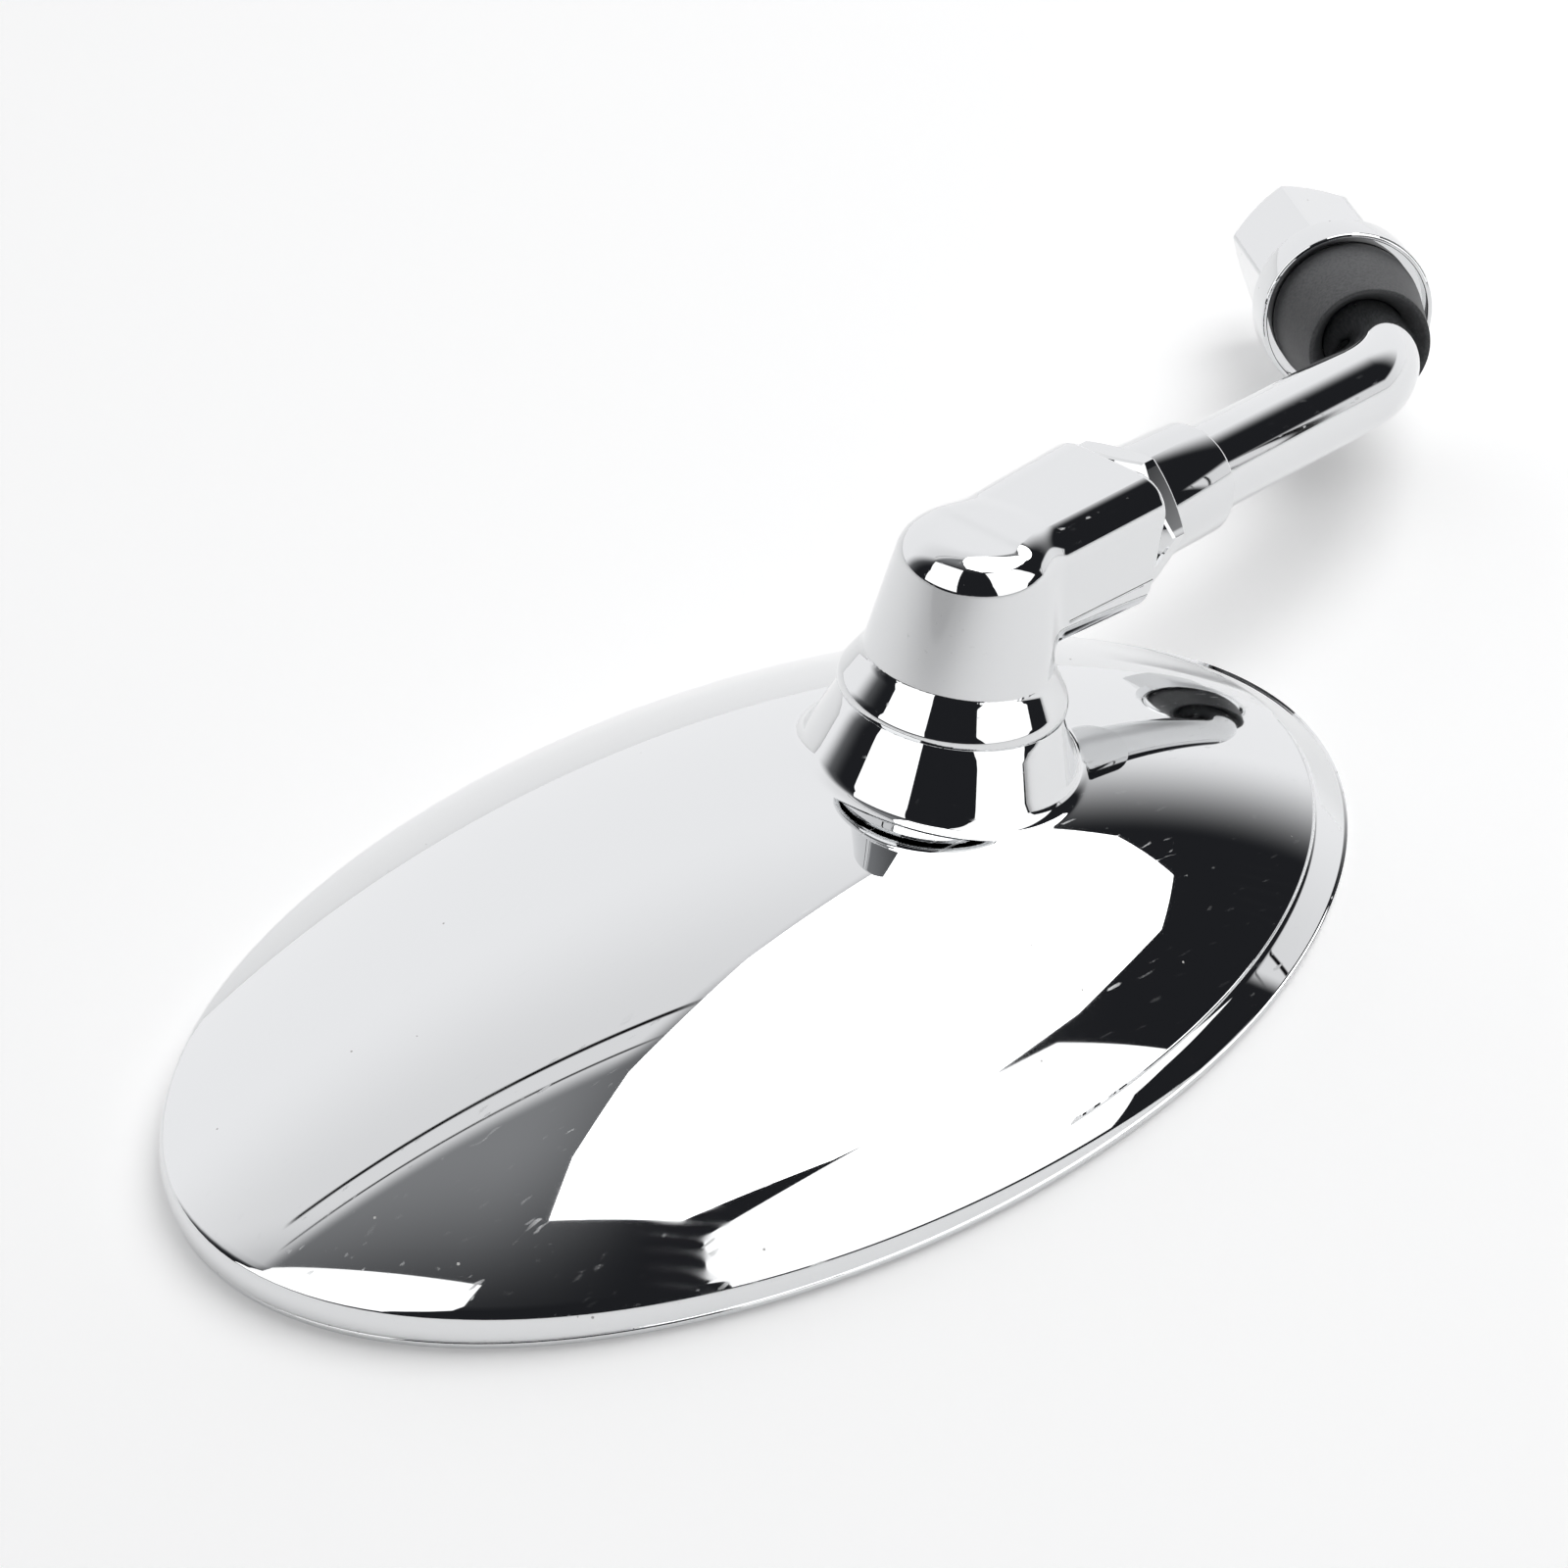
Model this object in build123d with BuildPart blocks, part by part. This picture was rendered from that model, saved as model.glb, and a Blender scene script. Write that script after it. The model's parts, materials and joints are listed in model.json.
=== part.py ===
"""Oval motorcycle mirror with a chromed shell, a ball-jointed elbow, a bent stem and a threaded base nut.

It lies face down, as it would be laid on a bench. Millimetres, +Z up, and the origin is at the mouth of the base
nut's thread.
"""
import math
import os

from build123d import *

os.makedirs("parts", exist_ok=True)

# Fits
running_gap = 0.05
press_gap = 0.02
face_gap = 0.10
cover_gap = 0.40
cup_gap = 0.30

# Oval rim and bezel
rim_half_length = 76.5
rim_half_width = 46.0
bezel_height = 1.2
bezel_step = 0.25
bezel_flange = 2.2
bezel_flange_thickness = 0.8

# Glass and the foam pad behind it
glass_edge_gap = 4.2
glass_thickness = 2.2
pad_inset = 12.0
pad_thickness = 1.0

# Shell: a band slopes in from the rim to a crease, and a dome rises from the crease
crease_height = 4.7
crease_inset_side = 1.8
crease_inset_end = 2.6
crease_shift = -2.2
band_bulge = 0.30
dome_height = 15.6
shell_wall = 2.2
shell_ledge = 3.2

# Ball joint, measured along its own leaning axis from the centre of the ball
ball_share = 0.323
ball_y = 1.5
ball_z = 18.0
boss_lean = 10.0
ball_radius = 6.5
neck_radius = 3.5
stud_length = 21.5
seat_radius = 8.8
seat_top = 4.2
seat_bottom = -2.0
boss_radius = 14.2
boss_shoulder = 6.2
boss_flare = 0.435
boss_foot = -3.5
tube_radius = 14.0
tilt_room = 8.0
cup_rim = -2.6
cup_floor = -7.4
cup_hole = 2.5
spring_height = 1.5
spring_thickness = 0.6
spring_inner = 4.2
plate_thickness = 1.0
screw_count = 3
screw_radius = 1.25
screw_length = 7.0
screw_head_radius = 2.3
screw_head_height = 1.5

# Elbow: a skirt over the boss, a cone, and an arm that leaves it at a right angle
lip_level = 7.4
lip_radius = 13.05
lip_height = 1.1
skirt_top_radius = 10.8
skirt_height = 4.8
cone_top_radius = 8.3
arm_level = 12.7
arm_root = 15.4
arm_end = 16.9
arm_round = 4.2
arm_length = 25.6
arm_edge_round = 1.2
arm_turn = 11.4
crown_round = 3.4

# Lock nut and ferrule on the stem
nut_across_flats = 16.0
nut_turn = 20.0
nut_thickness = 4.2
nut_chamfer = 0.8
ferrule_radius = 7.0
ferrule_length = 12.8
ferrule_chamfer = 0.4

# Stem: a round rod with one bend
stem_radius = 5.4
stem_insert = 16.0
stem_reach = 88.2
bend_radius = 21.0
base_azimuth = 58.0
base_dip = -12.2
spigot_radius = 4.2
flange_radius = 6.0
flange_thickness = 2.0

# Base nut, measured along its axis from the corner of the bend
collar_start = 21.0
collar_radius = 11.2
collar_length = 6.5
collar_round = 0.8
base_end = 49.5
base_across_flats = 16.0
base_turn = 42.0
base_chamfer = 1.2
boot_recess_depth = 1.5
chamber_depth = 12.0
thread_radius = 4.4
thread_depth = 10.0

# Rubber boot, swivel bush and circlip in the base nut
boot_start = 9.3
boot_small_radius = 7.3
boot_large_radius = 10.2
boot_round = 0.8
boot_gap = 0.30
clip_start = 2.2
clip_thickness = 1.2
clip_groove = 0.7
clip_spigot_gap = 0.7
clip_slot = 3.0


def unit(azimuth, elevation):
    """Direction at an azimuth from +X and an elevation above the table, in degrees."""
    level = math.cos(math.radians(elevation))
    along = math.cos(math.radians(azimuth)) * level
    across = math.sin(math.radians(azimuth)) * level
    return Vector(along, across, math.sin(math.radians(elevation)))


# Directions of the boss, the arm and the base nut
boss_axis = unit(0, 90 - boss_lean)
boss_level = unit(0, -boss_lean)
arm_axis = boss_level.rotate(Axis((0, 0, 0), boss_axis), arm_turn)
base_axis = unit(base_azimuth, base_dip)

# Chain of points from the centre of the oval to the mouth of the thread, then the oval's place in the part's frame
ball_from_head = Vector(rim_half_length * ball_share, ball_y, ball_z)
elbow_from_head = ball_from_head + boss_axis * (lip_level + arm_level)
bend_from_head = elbow_from_head + arm_axis * stem_reach
head = (bend_from_head + base_axis * base_end) * -1
ball = head + ball_from_head
elbow_point = head + elbow_from_head
bend_point = head + bend_from_head

# Planes: the table under the head, across the boss axis, across the arm and across the base nut
table = Plane(head)
boss_plane = Plane(ball, x_dir=arm_axis, z_dir=boss_axis)
boss_section = Plane(ball, x_dir=arm_axis, z_dir=arm_axis.cross(boss_axis))
arm_plane = Plane(elbow_point, x_dir=boss_axis, z_dir=arm_axis)
arm_section = Plane(elbow_point, x_dir=boss_axis, z_dir=boss_axis.cross(arm_axis))
base_plane = Plane(bend_point, x_dir=arm_axis.cross(base_axis), z_dir=base_axis)
base_section = Plane(bend_point, x_dir=arm_axis.cross(base_axis), z_dir=(arm_axis.cross(base_axis)).cross(base_axis))

# Sizes that follow from the ones above
crease_half_length = rim_half_length - crease_inset_end
crease_half_width = rim_half_width - crease_inset_side
glass_half_length = rim_half_length - glass_edge_gap
glass_half_width = rim_half_width - glass_edge_gap
glass_back = bezel_flange_thickness + glass_thickness
glass_centre = (crease_shift / 2, 0)
cover_radius = boss_radius + cover_gap
neck_hole_radius = neck_radius + boss_radius * math.tan(math.radians(tilt_room)) + cover_gap
boss_shoulder_radius = math.sqrt(boss_radius**2 - boss_shoulder**2)
boss_foot_radius = boss_shoulder_radius + (boss_shoulder - boss_foot) * boss_flare
plate_top = cup_floor - spring_height
cup_radius = seat_radius - cup_gap
spring_outer = cup_radius - cup_gap
screw_circle = (seat_radius + tube_radius) / 2
crown_level = arm_level + arm_root / 2
chamber_radius = flange_radius + running_gap
chamber_floor = collar_start + chamber_depth
flange_start = chamber_floor - face_gap - flange_thickness
clip_level = collar_start + clip_start
bush_start = clip_level + clip_thickness
shoulder = clip_level - face_gap
bend_trim = bend_radius * math.tan(math.radians(arm_axis.get_angle(base_axis)) / 2)


def dome(half_length, half_width, height, level, stretch_shift):
    """Spherical cap stretched along the oval, standing at a level above the table."""
    cap_radius = (half_width**2 + height**2) / (2 * height)
    with BuildPart(mode=Mode.PRIVATE) as cap:
        with BuildSketch(Plane.XZ):
            with BuildLine():
                Line((0, 0), (half_width, 0))
                RadiusArc((half_width, 0), (0, height), -cap_radius)
                Line((0, height), (0, 0))
            make_face()
        revolve(axis=Axis.Z)
        scale(by=(half_length / half_width, 1, 1))
    return Pos(head + Vector(stretch_shift, 0, level)) * cap.part


# Shell of the mirror, with the boss that holds the ball joint
outer_dome = dome(crease_half_length, crease_half_width, dome_height, crease_height, crease_shift)
inner_height = crease_height + dome_height - shell_wall - glass_back
inner_dome = dome(
    crease_half_length - shell_ledge, crease_half_width - shell_ledge, inner_height, glass_back, crease_shift
)

with BuildPart() as housing:
    for level, share in ((bezel_height, 0.0), ((bezel_height + crease_height) / 2, 0.5), (crease_height, 1.0)):
        bulge = band_bulge * 4 * share * (1 - share)
        with BuildSketch(table.offset(level)):
            with Locations((crease_shift * share, 0)):
                Ellipse(
                    rim_half_length - crease_inset_end * share + bulge,
                    rim_half_width - crease_inset_side * share + bulge,
                )
    loft()
    add(outer_dome)
    add(inner_dome, mode=Mode.SUBTRACT)
    with BuildSketch(table.offset(bezel_height)):
        with Locations(glass_centre):
            Ellipse(glass_half_length + press_gap, glass_half_width + press_gap)
    extrude(amount=glass_back - bezel_height, mode=Mode.SUBTRACT)
    with BuildSketch(boss_section):
        with BuildLine():
            Polyline(
                (0, boss_radius),
                (0, plate_top),
                (tube_radius, plate_top),
                (tube_radius, boss_foot),
                (boss_foot_radius, boss_foot),
                (boss_shoulder_radius, boss_shoulder),
            )
            RadiusArc((boss_shoulder_radius, boss_shoulder), (0, boss_radius), -boss_radius)
        make_face()
    revolve(axis=Axis(ball, boss_axis))
    with BuildSketch(boss_section):
        with BuildLine():
            Polyline(
                (0, seat_radius + running_gap),
                (0, plate_top),
                (seat_radius + running_gap, plate_top),
                (seat_radius + running_gap, 0),
            )
            RadiusArc((seat_radius + running_gap, 0), (0, seat_radius + running_gap), -seat_radius - running_gap)
        make_face()
    revolve(axis=Axis(ball, boss_axis), mode=Mode.SUBTRACT)
    with BuildSketch(boss_plane):
        Circle(neck_hole_radius)
    extrude(amount=boss_radius, mode=Mode.SUBTRACT)
    with BuildSketch(boss_plane.offset(plate_top)):
        with PolarLocations(screw_circle, screw_count, start_angle=180):
            Circle(screw_radius + press_gap)
    extrude(amount=screw_length, mode=Mode.SUBTRACT)
housing.part.label = "housing"
export_step(housing.part, "parts/housing.step")

# Bezel ring under the rim, with an inner flange that holds the edge of the glass
with BuildPart() as rim_bezel:
    for level, inset in ((0, 2 * bezel_step), (bezel_step, bezel_step), (bezel_height, bezel_step)):
        with BuildSketch(table.offset(level)):
            Ellipse(rim_half_length - inset, rim_half_width - inset)
    loft(ruled=True)
    with BuildSketch(table):
        with Locations(glass_centre):
            Ellipse(glass_half_length - bezel_flange, glass_half_width - bezel_flange)
    extrude(amount=bezel_height, mode=Mode.SUBTRACT)
    with BuildSketch(table.offset(bezel_flange_thickness)):
        with Locations(glass_centre):
            Ellipse(glass_half_length + press_gap, glass_half_width + press_gap)
    extrude(amount=bezel_height - bezel_flange_thickness, mode=Mode.SUBTRACT)
rim_bezel.part.label = "rim_bezel"
export_step(rim_bezel.part, "parts/rim_bezel.step")

# Mirror glass
with BuildPart() as mirror_glass:
    with BuildSketch(table.offset(bezel_flange_thickness)):
        with Locations(glass_centre):
            Ellipse(glass_half_length, glass_half_width)
    extrude(amount=glass_thickness)
mirror_glass.part.label = "mirror_glass"
export_step(mirror_glass.part, "parts/mirror_glass.step")

# Foam pad stuck to the back of the glass
with BuildPart() as foam_pad:
    with BuildSketch(table.offset(glass_back)):
        with Locations(glass_centre):
            Ellipse(glass_half_length - pad_inset, glass_half_width - pad_inset)
    extrude(amount=pad_thickness)
foam_pad.part.label = "foam_pad"
export_step(foam_pad.part, "parts/foam_pad.step")

# Seat that turns in the boss and holds the ball from above
seat_inner = ball_radius + running_gap
with BuildPart() as socket_seat:
    with BuildSketch(boss_section):
        with BuildLine():
            seat_low = (math.sqrt(seat_inner**2 - seat_bottom**2), seat_bottom)
            seat_high = (math.sqrt(seat_inner**2 - seat_top**2), seat_top)
            seat_rim = (math.sqrt(seat_radius**2 - seat_top**2), seat_top)
            RadiusArc(seat_low, seat_high, -seat_inner)
            Line(seat_high, seat_rim)
            RadiusArc(seat_rim, (seat_radius, 0), seat_radius)
            Polyline((seat_radius, 0), (seat_radius, seat_bottom), seat_low)
        make_face()
    revolve(axis=Axis(ball, boss_axis))
socket_seat.part.label = "socket_seat"
export_step(socket_seat.part, "parts/socket_seat.step")

# Ball stud, whose shank is pressed into the elbow
with BuildPart() as ball_stud:
    with Locations(boss_plane):
        Sphere(ball_radius)
    with BuildSketch(boss_plane):
        Circle(neck_radius)
    extrude(amount=stud_length)
    chamfer(ball_stud.edges().sort_by(Axis(ball, boss_axis))[-1], length=neck_radius / 5)
ball_stud.part.label = "ball_stud"
export_step(ball_stud.part, "parts/ball_stud.step")

# Cup that the spring presses up against the ball
with BuildPart() as pressure_cup:
    with BuildSketch(boss_section):
        with BuildLine():
            cup_edge = (math.sqrt(seat_inner**2 - cup_rim**2), cup_rim)
            cup_low = (cup_hole, -math.sqrt(seat_inner**2 - cup_hole**2))
            RadiusArc(cup_low, cup_edge, -seat_inner)
            Polyline(cup_edge, (cup_radius, cup_rim), (cup_radius, cup_floor), (cup_hole, cup_floor), cup_low)
        make_face()
    revolve(axis=Axis(ball, boss_axis))
pressure_cup.part.label = "pressure_cup"
export_step(pressure_cup.part, "parts/pressure_cup.step")

# Conical disc spring under the cup
with BuildPart() as disc_spring:
    with BuildSketch(boss_section):
        with BuildLine():
            Polyline(
                (spring_inner, cup_floor),
                (spring_inner, cup_floor - spring_thickness),
                (spring_outer, plate_top),
                (spring_outer, plate_top + spring_thickness),
                close=True,
            )
        make_face()
    revolve(axis=Axis(ball, boss_axis))
disc_spring.part.label = "disc_spring"
export_step(disc_spring.part, "parts/disc_spring.step")

# Plate that closes the joint from inside the shell
with BuildPart() as retainer_plate:
    with BuildSketch(boss_plane.offset(plate_top)):
        Circle(tube_radius)
        Circle(spring_inner, mode=Mode.SUBTRACT)
        with PolarLocations(screw_circle, screw_count, start_angle=180):
            Circle(screw_radius + running_gap, mode=Mode.SUBTRACT)
    extrude(amount=-plate_thickness)
retainer_plate.part.label = "retainer_plate"
export_step(retainer_plate.part, "parts/retainer_plate.step")

# Screws that hold the plate
with BuildPart() as plate_screws:
    with BuildSketch(boss_plane.offset(plate_top - plate_thickness)):
        with PolarLocations(screw_circle, screw_count, start_angle=180):
            Circle(screw_radius)
    extrude(amount=screw_length - plate_thickness)
    with BuildSketch(boss_plane.offset(plate_top - plate_thickness)):
        with PolarLocations(screw_circle, screw_count, start_angle=180):
            Circle(screw_head_radius)
    extrude(amount=-screw_head_height)
plate_screws.part.label = "plate_screws"
export_step(plate_screws.part, "parts/plate_screws.step")

# Elbow casting
cone_slope = (skirt_top_radius - cone_top_radius) / (crown_level - skirt_height)
crown_edge = (cone_top_radius + cone_slope * crown_round, lip_level + crown_level - crown_round)
with BuildPart() as elbow:
    with BuildSketch(boss_section):
        with BuildLine():
            Polyline(
                (cone_top_radius - crown_round, lip_level + crown_level),
                (0, lip_level + crown_level),
                (0, lip_level),
                (lip_radius, lip_level),
                (lip_radius, lip_level + lip_height),
                (skirt_top_radius, lip_level + skirt_height),
                crown_edge,
            )
            TangentArc(crown_edge, (cone_top_radius - crown_round, lip_level + crown_level), tangent=(-cone_slope, 1))
        make_face()
    revolve(axis=Axis(ball, boss_axis))
    with BuildSketch(arm_plane):
        RectangleRounded(arm_root, arm_root, arm_round)
    with BuildSketch(arm_plane.offset(arm_length)):
        RectangleRounded(arm_end, arm_end, arm_round)
    loft()
    arm_face = elbow.faces().sort_by(Axis(elbow_point, arm_axis))[-1]
    fillet(arm_face.edges(), radius=arm_edge_round)
    with Locations(boss_plane):
        Sphere(cover_radius, mode=Mode.SUBTRACT)
    with BuildSketch(boss_plane):
        Circle(neck_radius + press_gap)
    extrude(amount=stud_length + press_gap, mode=Mode.SUBTRACT)
    with BuildSketch(arm_plane.offset(arm_length)):
        Circle(stem_radius + running_gap)
    extrude(amount=-stem_insert - face_gap, mode=Mode.SUBTRACT)
elbow.part.label = "elbow"
export_step(elbow.part, "parts/elbow.step")

# Hexagonal lock nut, jammed against the end of the arm
nut_start = arm_length + face_gap
nut_end = nut_start + nut_thickness
nut_corner = nut_across_flats / math.sqrt(3)
with BuildPart() as lock_nut:
    with BuildSketch(arm_plane.offset(nut_start)):
        RegularPolygon(nut_across_flats / 2, 6, major_radius=False, rotation=nut_turn)
        Circle(stem_radius + press_gap, mode=Mode.SUBTRACT)
    extrude(amount=nut_thickness)
    with BuildSketch(arm_section):
        with BuildLine():
            Polyline(
                (nut_corner - 2 * nut_chamfer, nut_end),
                (nut_corner + nut_chamfer, nut_end),
                (nut_corner + nut_chamfer, nut_end - 1.5 * nut_chamfer),
                close=True,
            )
        make_face()
    revolve(axis=Axis(elbow_point, arm_axis), mode=Mode.SUBTRACT)
lock_nut.part.label = "lock_nut"
export_step(lock_nut.part, "parts/lock_nut.step")

# Ferrule between the lock nut and the bare rod
with BuildPart() as ferrule:
    with BuildSketch(arm_plane.offset(nut_end)):
        Circle(ferrule_radius)
        Circle(stem_radius + press_gap, mode=Mode.SUBTRACT)
    extrude(amount=ferrule_length)
    far_rim = ferrule.edges().filter_by(GeomType.CIRCLE).group_by(Axis(elbow_point, arm_axis))[-1]
    chamfer(far_rim.sort_by(SortBy.LENGTH)[-1], length=ferrule_chamfer)
ferrule.part.label = "ferrule"
export_step(ferrule.part, "parts/ferrule.step")

# Stem with its bend and the flange that turns in the base nut
with BuildPart() as stem:
    with BuildLine():
        stem_start = elbow_point + arm_axis * (arm_length - stem_insert)
        bend_in = bend_point - arm_axis * bend_trim
        bend_out = bend_point + base_axis * bend_trim
        stem_end = bend_point + base_axis * shoulder
        Line(stem_start, bend_in)
        TangentArc(bend_in, bend_out, tangent=arm_axis)
        Line(bend_out, stem_end)
    with BuildSketch(Plane(stem_start, x_dir=boss_axis, z_dir=arm_axis)):
        Circle(stem_radius)
    sweep()
    with BuildSketch(base_plane.offset(shoulder)):
        Circle(spigot_radius)
    extrude(amount=flange_start - shoulder)
    with BuildSketch(base_plane.offset(flange_start)):
        Circle(flange_radius)
    extrude(amount=flange_thickness)
stem.part.label = "stem"
export_step(stem.part, "parts/stem.step")

# Base nut: a round collar, then a hexagon with a threaded hole in its end
collar_end = collar_start + collar_length
base_corner = base_across_flats / math.sqrt(3)
with BuildPart() as base_nut:
    with BuildSketch(base_plane.offset(collar_start)):
        Circle(collar_radius)
    extrude(amount=collar_length)
    fillet(base_nut.edges().filter_by(GeomType.CIRCLE), radius=collar_round)
    with BuildSketch(base_plane.offset(collar_start + collar_round)):
        RegularPolygon(base_across_flats / 2, 6, major_radius=False, rotation=base_turn)
    extrude(amount=base_end - collar_start - collar_round)
    with BuildSketch(base_section):
        with BuildLine():
            Polyline(
                (base_corner - base_chamfer, base_end),
                (base_corner + collar_radius, base_end),
                (base_corner + collar_radius, base_end - base_chamfer - collar_radius),
                close=True,
            )
        make_face()
    revolve(axis=Axis(bend_point, base_axis), mode=Mode.SUBTRACT)
    with BuildSketch(base_plane.offset(collar_start)):
        Circle(boot_large_radius + boot_gap)
    extrude(amount=boot_recess_depth, mode=Mode.SUBTRACT)
    with BuildSketch(base_plane.offset(collar_start)):
        Circle(chamber_radius)
    extrude(amount=chamber_depth, mode=Mode.SUBTRACT)
    with BuildSketch(base_plane.offset(clip_level)):
        Circle(chamber_radius + clip_groove)
    extrude(amount=clip_thickness, mode=Mode.SUBTRACT)
    with BuildSketch(base_plane.offset(base_end)):
        Circle(thread_radius)
    extrude(amount=-thread_depth, mode=Mode.SUBTRACT)
base_nut.part.label = "base_nut"
export_step(base_nut.part, "parts/base_nut.step")

# Bush that the stem turns in
with BuildPart() as swivel_bush:
    with BuildSketch(base_plane.offset(bush_start)):
        Circle(chamber_radius - press_gap)
        Circle(spigot_radius + running_gap, mode=Mode.SUBTRACT)
    extrude(amount=flange_start - face_gap - bush_start)
swivel_bush.part.label = "swivel_bush"
export_step(swivel_bush.part, "parts/swivel_bush.step")

# Circlip in its groove above the bush
with BuildPart() as circlip:
    with BuildSketch(base_plane.offset(clip_level)):
        Circle(chamber_radius + clip_groove - press_gap)
        Circle(spigot_radius + clip_spigot_gap, mode=Mode.SUBTRACT)
        with Locations((chamber_radius, 0)):
            Rectangle(chamber_radius, clip_slot, mode=Mode.SUBTRACT)
    extrude(amount=clip_thickness)
circlip.part.label = "circlip"
export_step(circlip.part, "parts/circlip.step")

# Rubber boot over the stem, with its foot in the base nut's recess
with BuildPart() as rubber_boot:
    with BuildSketch(base_section):
        with BuildLine():
            Polyline(
                (stem_radius + press_gap, boot_start),
                (boot_small_radius, boot_start),
                (boot_large_radius, collar_start),
                (boot_large_radius, collar_start + boot_recess_depth - boot_gap),
                (stem_radius + press_gap, collar_start + boot_recess_depth - boot_gap),
                close=True,
            )
        make_face()
    revolve(axis=Axis(bend_point, base_axis))
    top_edge = rubber_boot.edges().filter_by(GeomType.CIRCLE).group_by(Axis(bend_point, base_axis))[0]
    fillet(top_edge.sort_by(SortBy.LENGTH)[-1], radius=boot_round)
rubber_boot.part.label = "rubber_boot"
export_step(rubber_boot.part, "parts/rubber_boot.step")
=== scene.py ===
"""Looks of an oval chromed motorcycle mirror that lies face down on a pale studio table.

Sizes are in millimetres as in the part's source, measured from the centre of the oval on the table. The
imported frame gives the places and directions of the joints, and meshes are written in metres in the frame's
own axes.
"""

import json
import logging
import math
from dataclasses import dataclass, field, replace
from enum import Enum
from typing import Any, Callable

import bpy
import numpy as np
from mathutils import Matrix, Vector

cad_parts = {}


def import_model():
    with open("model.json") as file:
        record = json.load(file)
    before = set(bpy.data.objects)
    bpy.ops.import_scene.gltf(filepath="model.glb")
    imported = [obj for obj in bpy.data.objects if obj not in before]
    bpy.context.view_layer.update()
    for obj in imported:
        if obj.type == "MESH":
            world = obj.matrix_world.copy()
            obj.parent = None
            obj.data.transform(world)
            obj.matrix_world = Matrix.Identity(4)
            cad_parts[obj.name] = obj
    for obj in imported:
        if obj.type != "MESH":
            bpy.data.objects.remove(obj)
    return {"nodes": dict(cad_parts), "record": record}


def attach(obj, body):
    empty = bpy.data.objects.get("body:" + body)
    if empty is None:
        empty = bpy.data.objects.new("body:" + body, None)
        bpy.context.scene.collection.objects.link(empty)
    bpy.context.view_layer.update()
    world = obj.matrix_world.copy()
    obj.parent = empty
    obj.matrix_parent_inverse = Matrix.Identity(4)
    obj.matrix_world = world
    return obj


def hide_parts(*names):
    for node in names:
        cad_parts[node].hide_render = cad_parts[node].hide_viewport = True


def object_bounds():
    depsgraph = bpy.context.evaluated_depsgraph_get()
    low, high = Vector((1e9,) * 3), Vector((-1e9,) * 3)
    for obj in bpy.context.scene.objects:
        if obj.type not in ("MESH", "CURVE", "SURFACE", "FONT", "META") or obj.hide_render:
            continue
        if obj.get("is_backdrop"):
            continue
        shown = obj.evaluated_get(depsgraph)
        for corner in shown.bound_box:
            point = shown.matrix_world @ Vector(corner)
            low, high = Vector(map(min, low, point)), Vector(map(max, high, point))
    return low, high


LOG = logging.getLogger("mirror")
MM = 0.001
TINY = 1e-12
UP = np.array((0.0, 0.0, 1.0))
Array = np.ndarray
Colour = tuple[float, float, float, float]
Socket = bpy.types.NodeSocket
DistanceField = Callable[[Array], Array]


def linear(code: str) -> Colour:
    """Turns an sRGB hex colour into linear RGBA.

    Args:
        code: Colour as "#RRGGBB".

    Returns:
        Linear red, green, blue and an alpha of 1.
    """
    parts = [int(code[i : i + 2], 16) / 255 for i in (1, 3, 5)]
    r, g, b = (c / 12.92 if c <= 0.04045 else ((c + 0.055) / 1.055) ** 2.4 for c in parts)
    return (r, g, b, 1.0)


def add_node(
    tree: bpy.types.NodeTree,
    kind: str,
    inputs: dict[Any, Any] | None = None,
    **settings: Any,
) -> bpy.types.Node:
    """Adds a node with its settings, values and links.

    Args:
        tree: Tree that gets the node.
        kind: Blender's name for the node type.
        inputs: Input name or number to a value, or to the socket that feeds it.
        settings: Properties of the node itself.

    Returns:
        The new node.
    """
    node = tree.nodes.new(kind)
    for name, value in settings.items():
        setattr(node, name, value)
    for name, value in (inputs or {}).items():
        if isinstance(value, Socket):
            tree.links.new(value, node.inputs[name])
        else:
            node.inputs[name].default_value = value
    return node


def unit(vector: Array) -> Array:
    """Scales vectors along the last axis to length 1."""
    return vector / (np.linalg.norm(vector, axis=-1, keepdims=True) + TINY)


def full_turn(count: int) -> Array:
    """Spreads angles evenly over a full turn."""
    return np.linspace(0, 2 * math.pi, count, endpoint=False)


def spokes(turn: Array, side: Array, axis: Array) -> Array:
    """Gives directions across an axis.

    Args:
        turn: Angle of each direction.
        side: Direction across the axis where the angle is zero.
        axis: Direction of the axis.

    Returns:
        One direction for each angle.
    """
    return np.cos(turn)[:, None] * side + np.sin(turn)[:, None] * np.cross(axis, side)


def rounding(start: Array, corner: Array, end: Array, share: float) -> Array:
    """Gives points on the curve that rounds a corner.

    Args:
        start: Where the curve leaves the first side.
        corner: The sharp corner.
        end: Where the curve meets the second side.
        share: 0 at the start and 1 at the end.

    Returns:
        The points at that share of the curve.
    """
    return (1 - share) ** 2 * start + 2 * share * (1 - share) * corner + share**2 * end


def dress(
    piece: bpy.types.Object,
    material: bpy.types.Material,
    body: str,
    node: str | None = None,
) -> bpy.types.Object:
    """Gives a piece its finish and its place in the part.

    Args:
        piece: The piece.
        material: Its finish.
        body: The body that it moves with.
        node: The solid that it stands for, if there is one.

    Returns:
        The piece.
    """
    piece.data.materials.append(material)
    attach(piece, body)
    if node is not None:
        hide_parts(node)
    return piece


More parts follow.
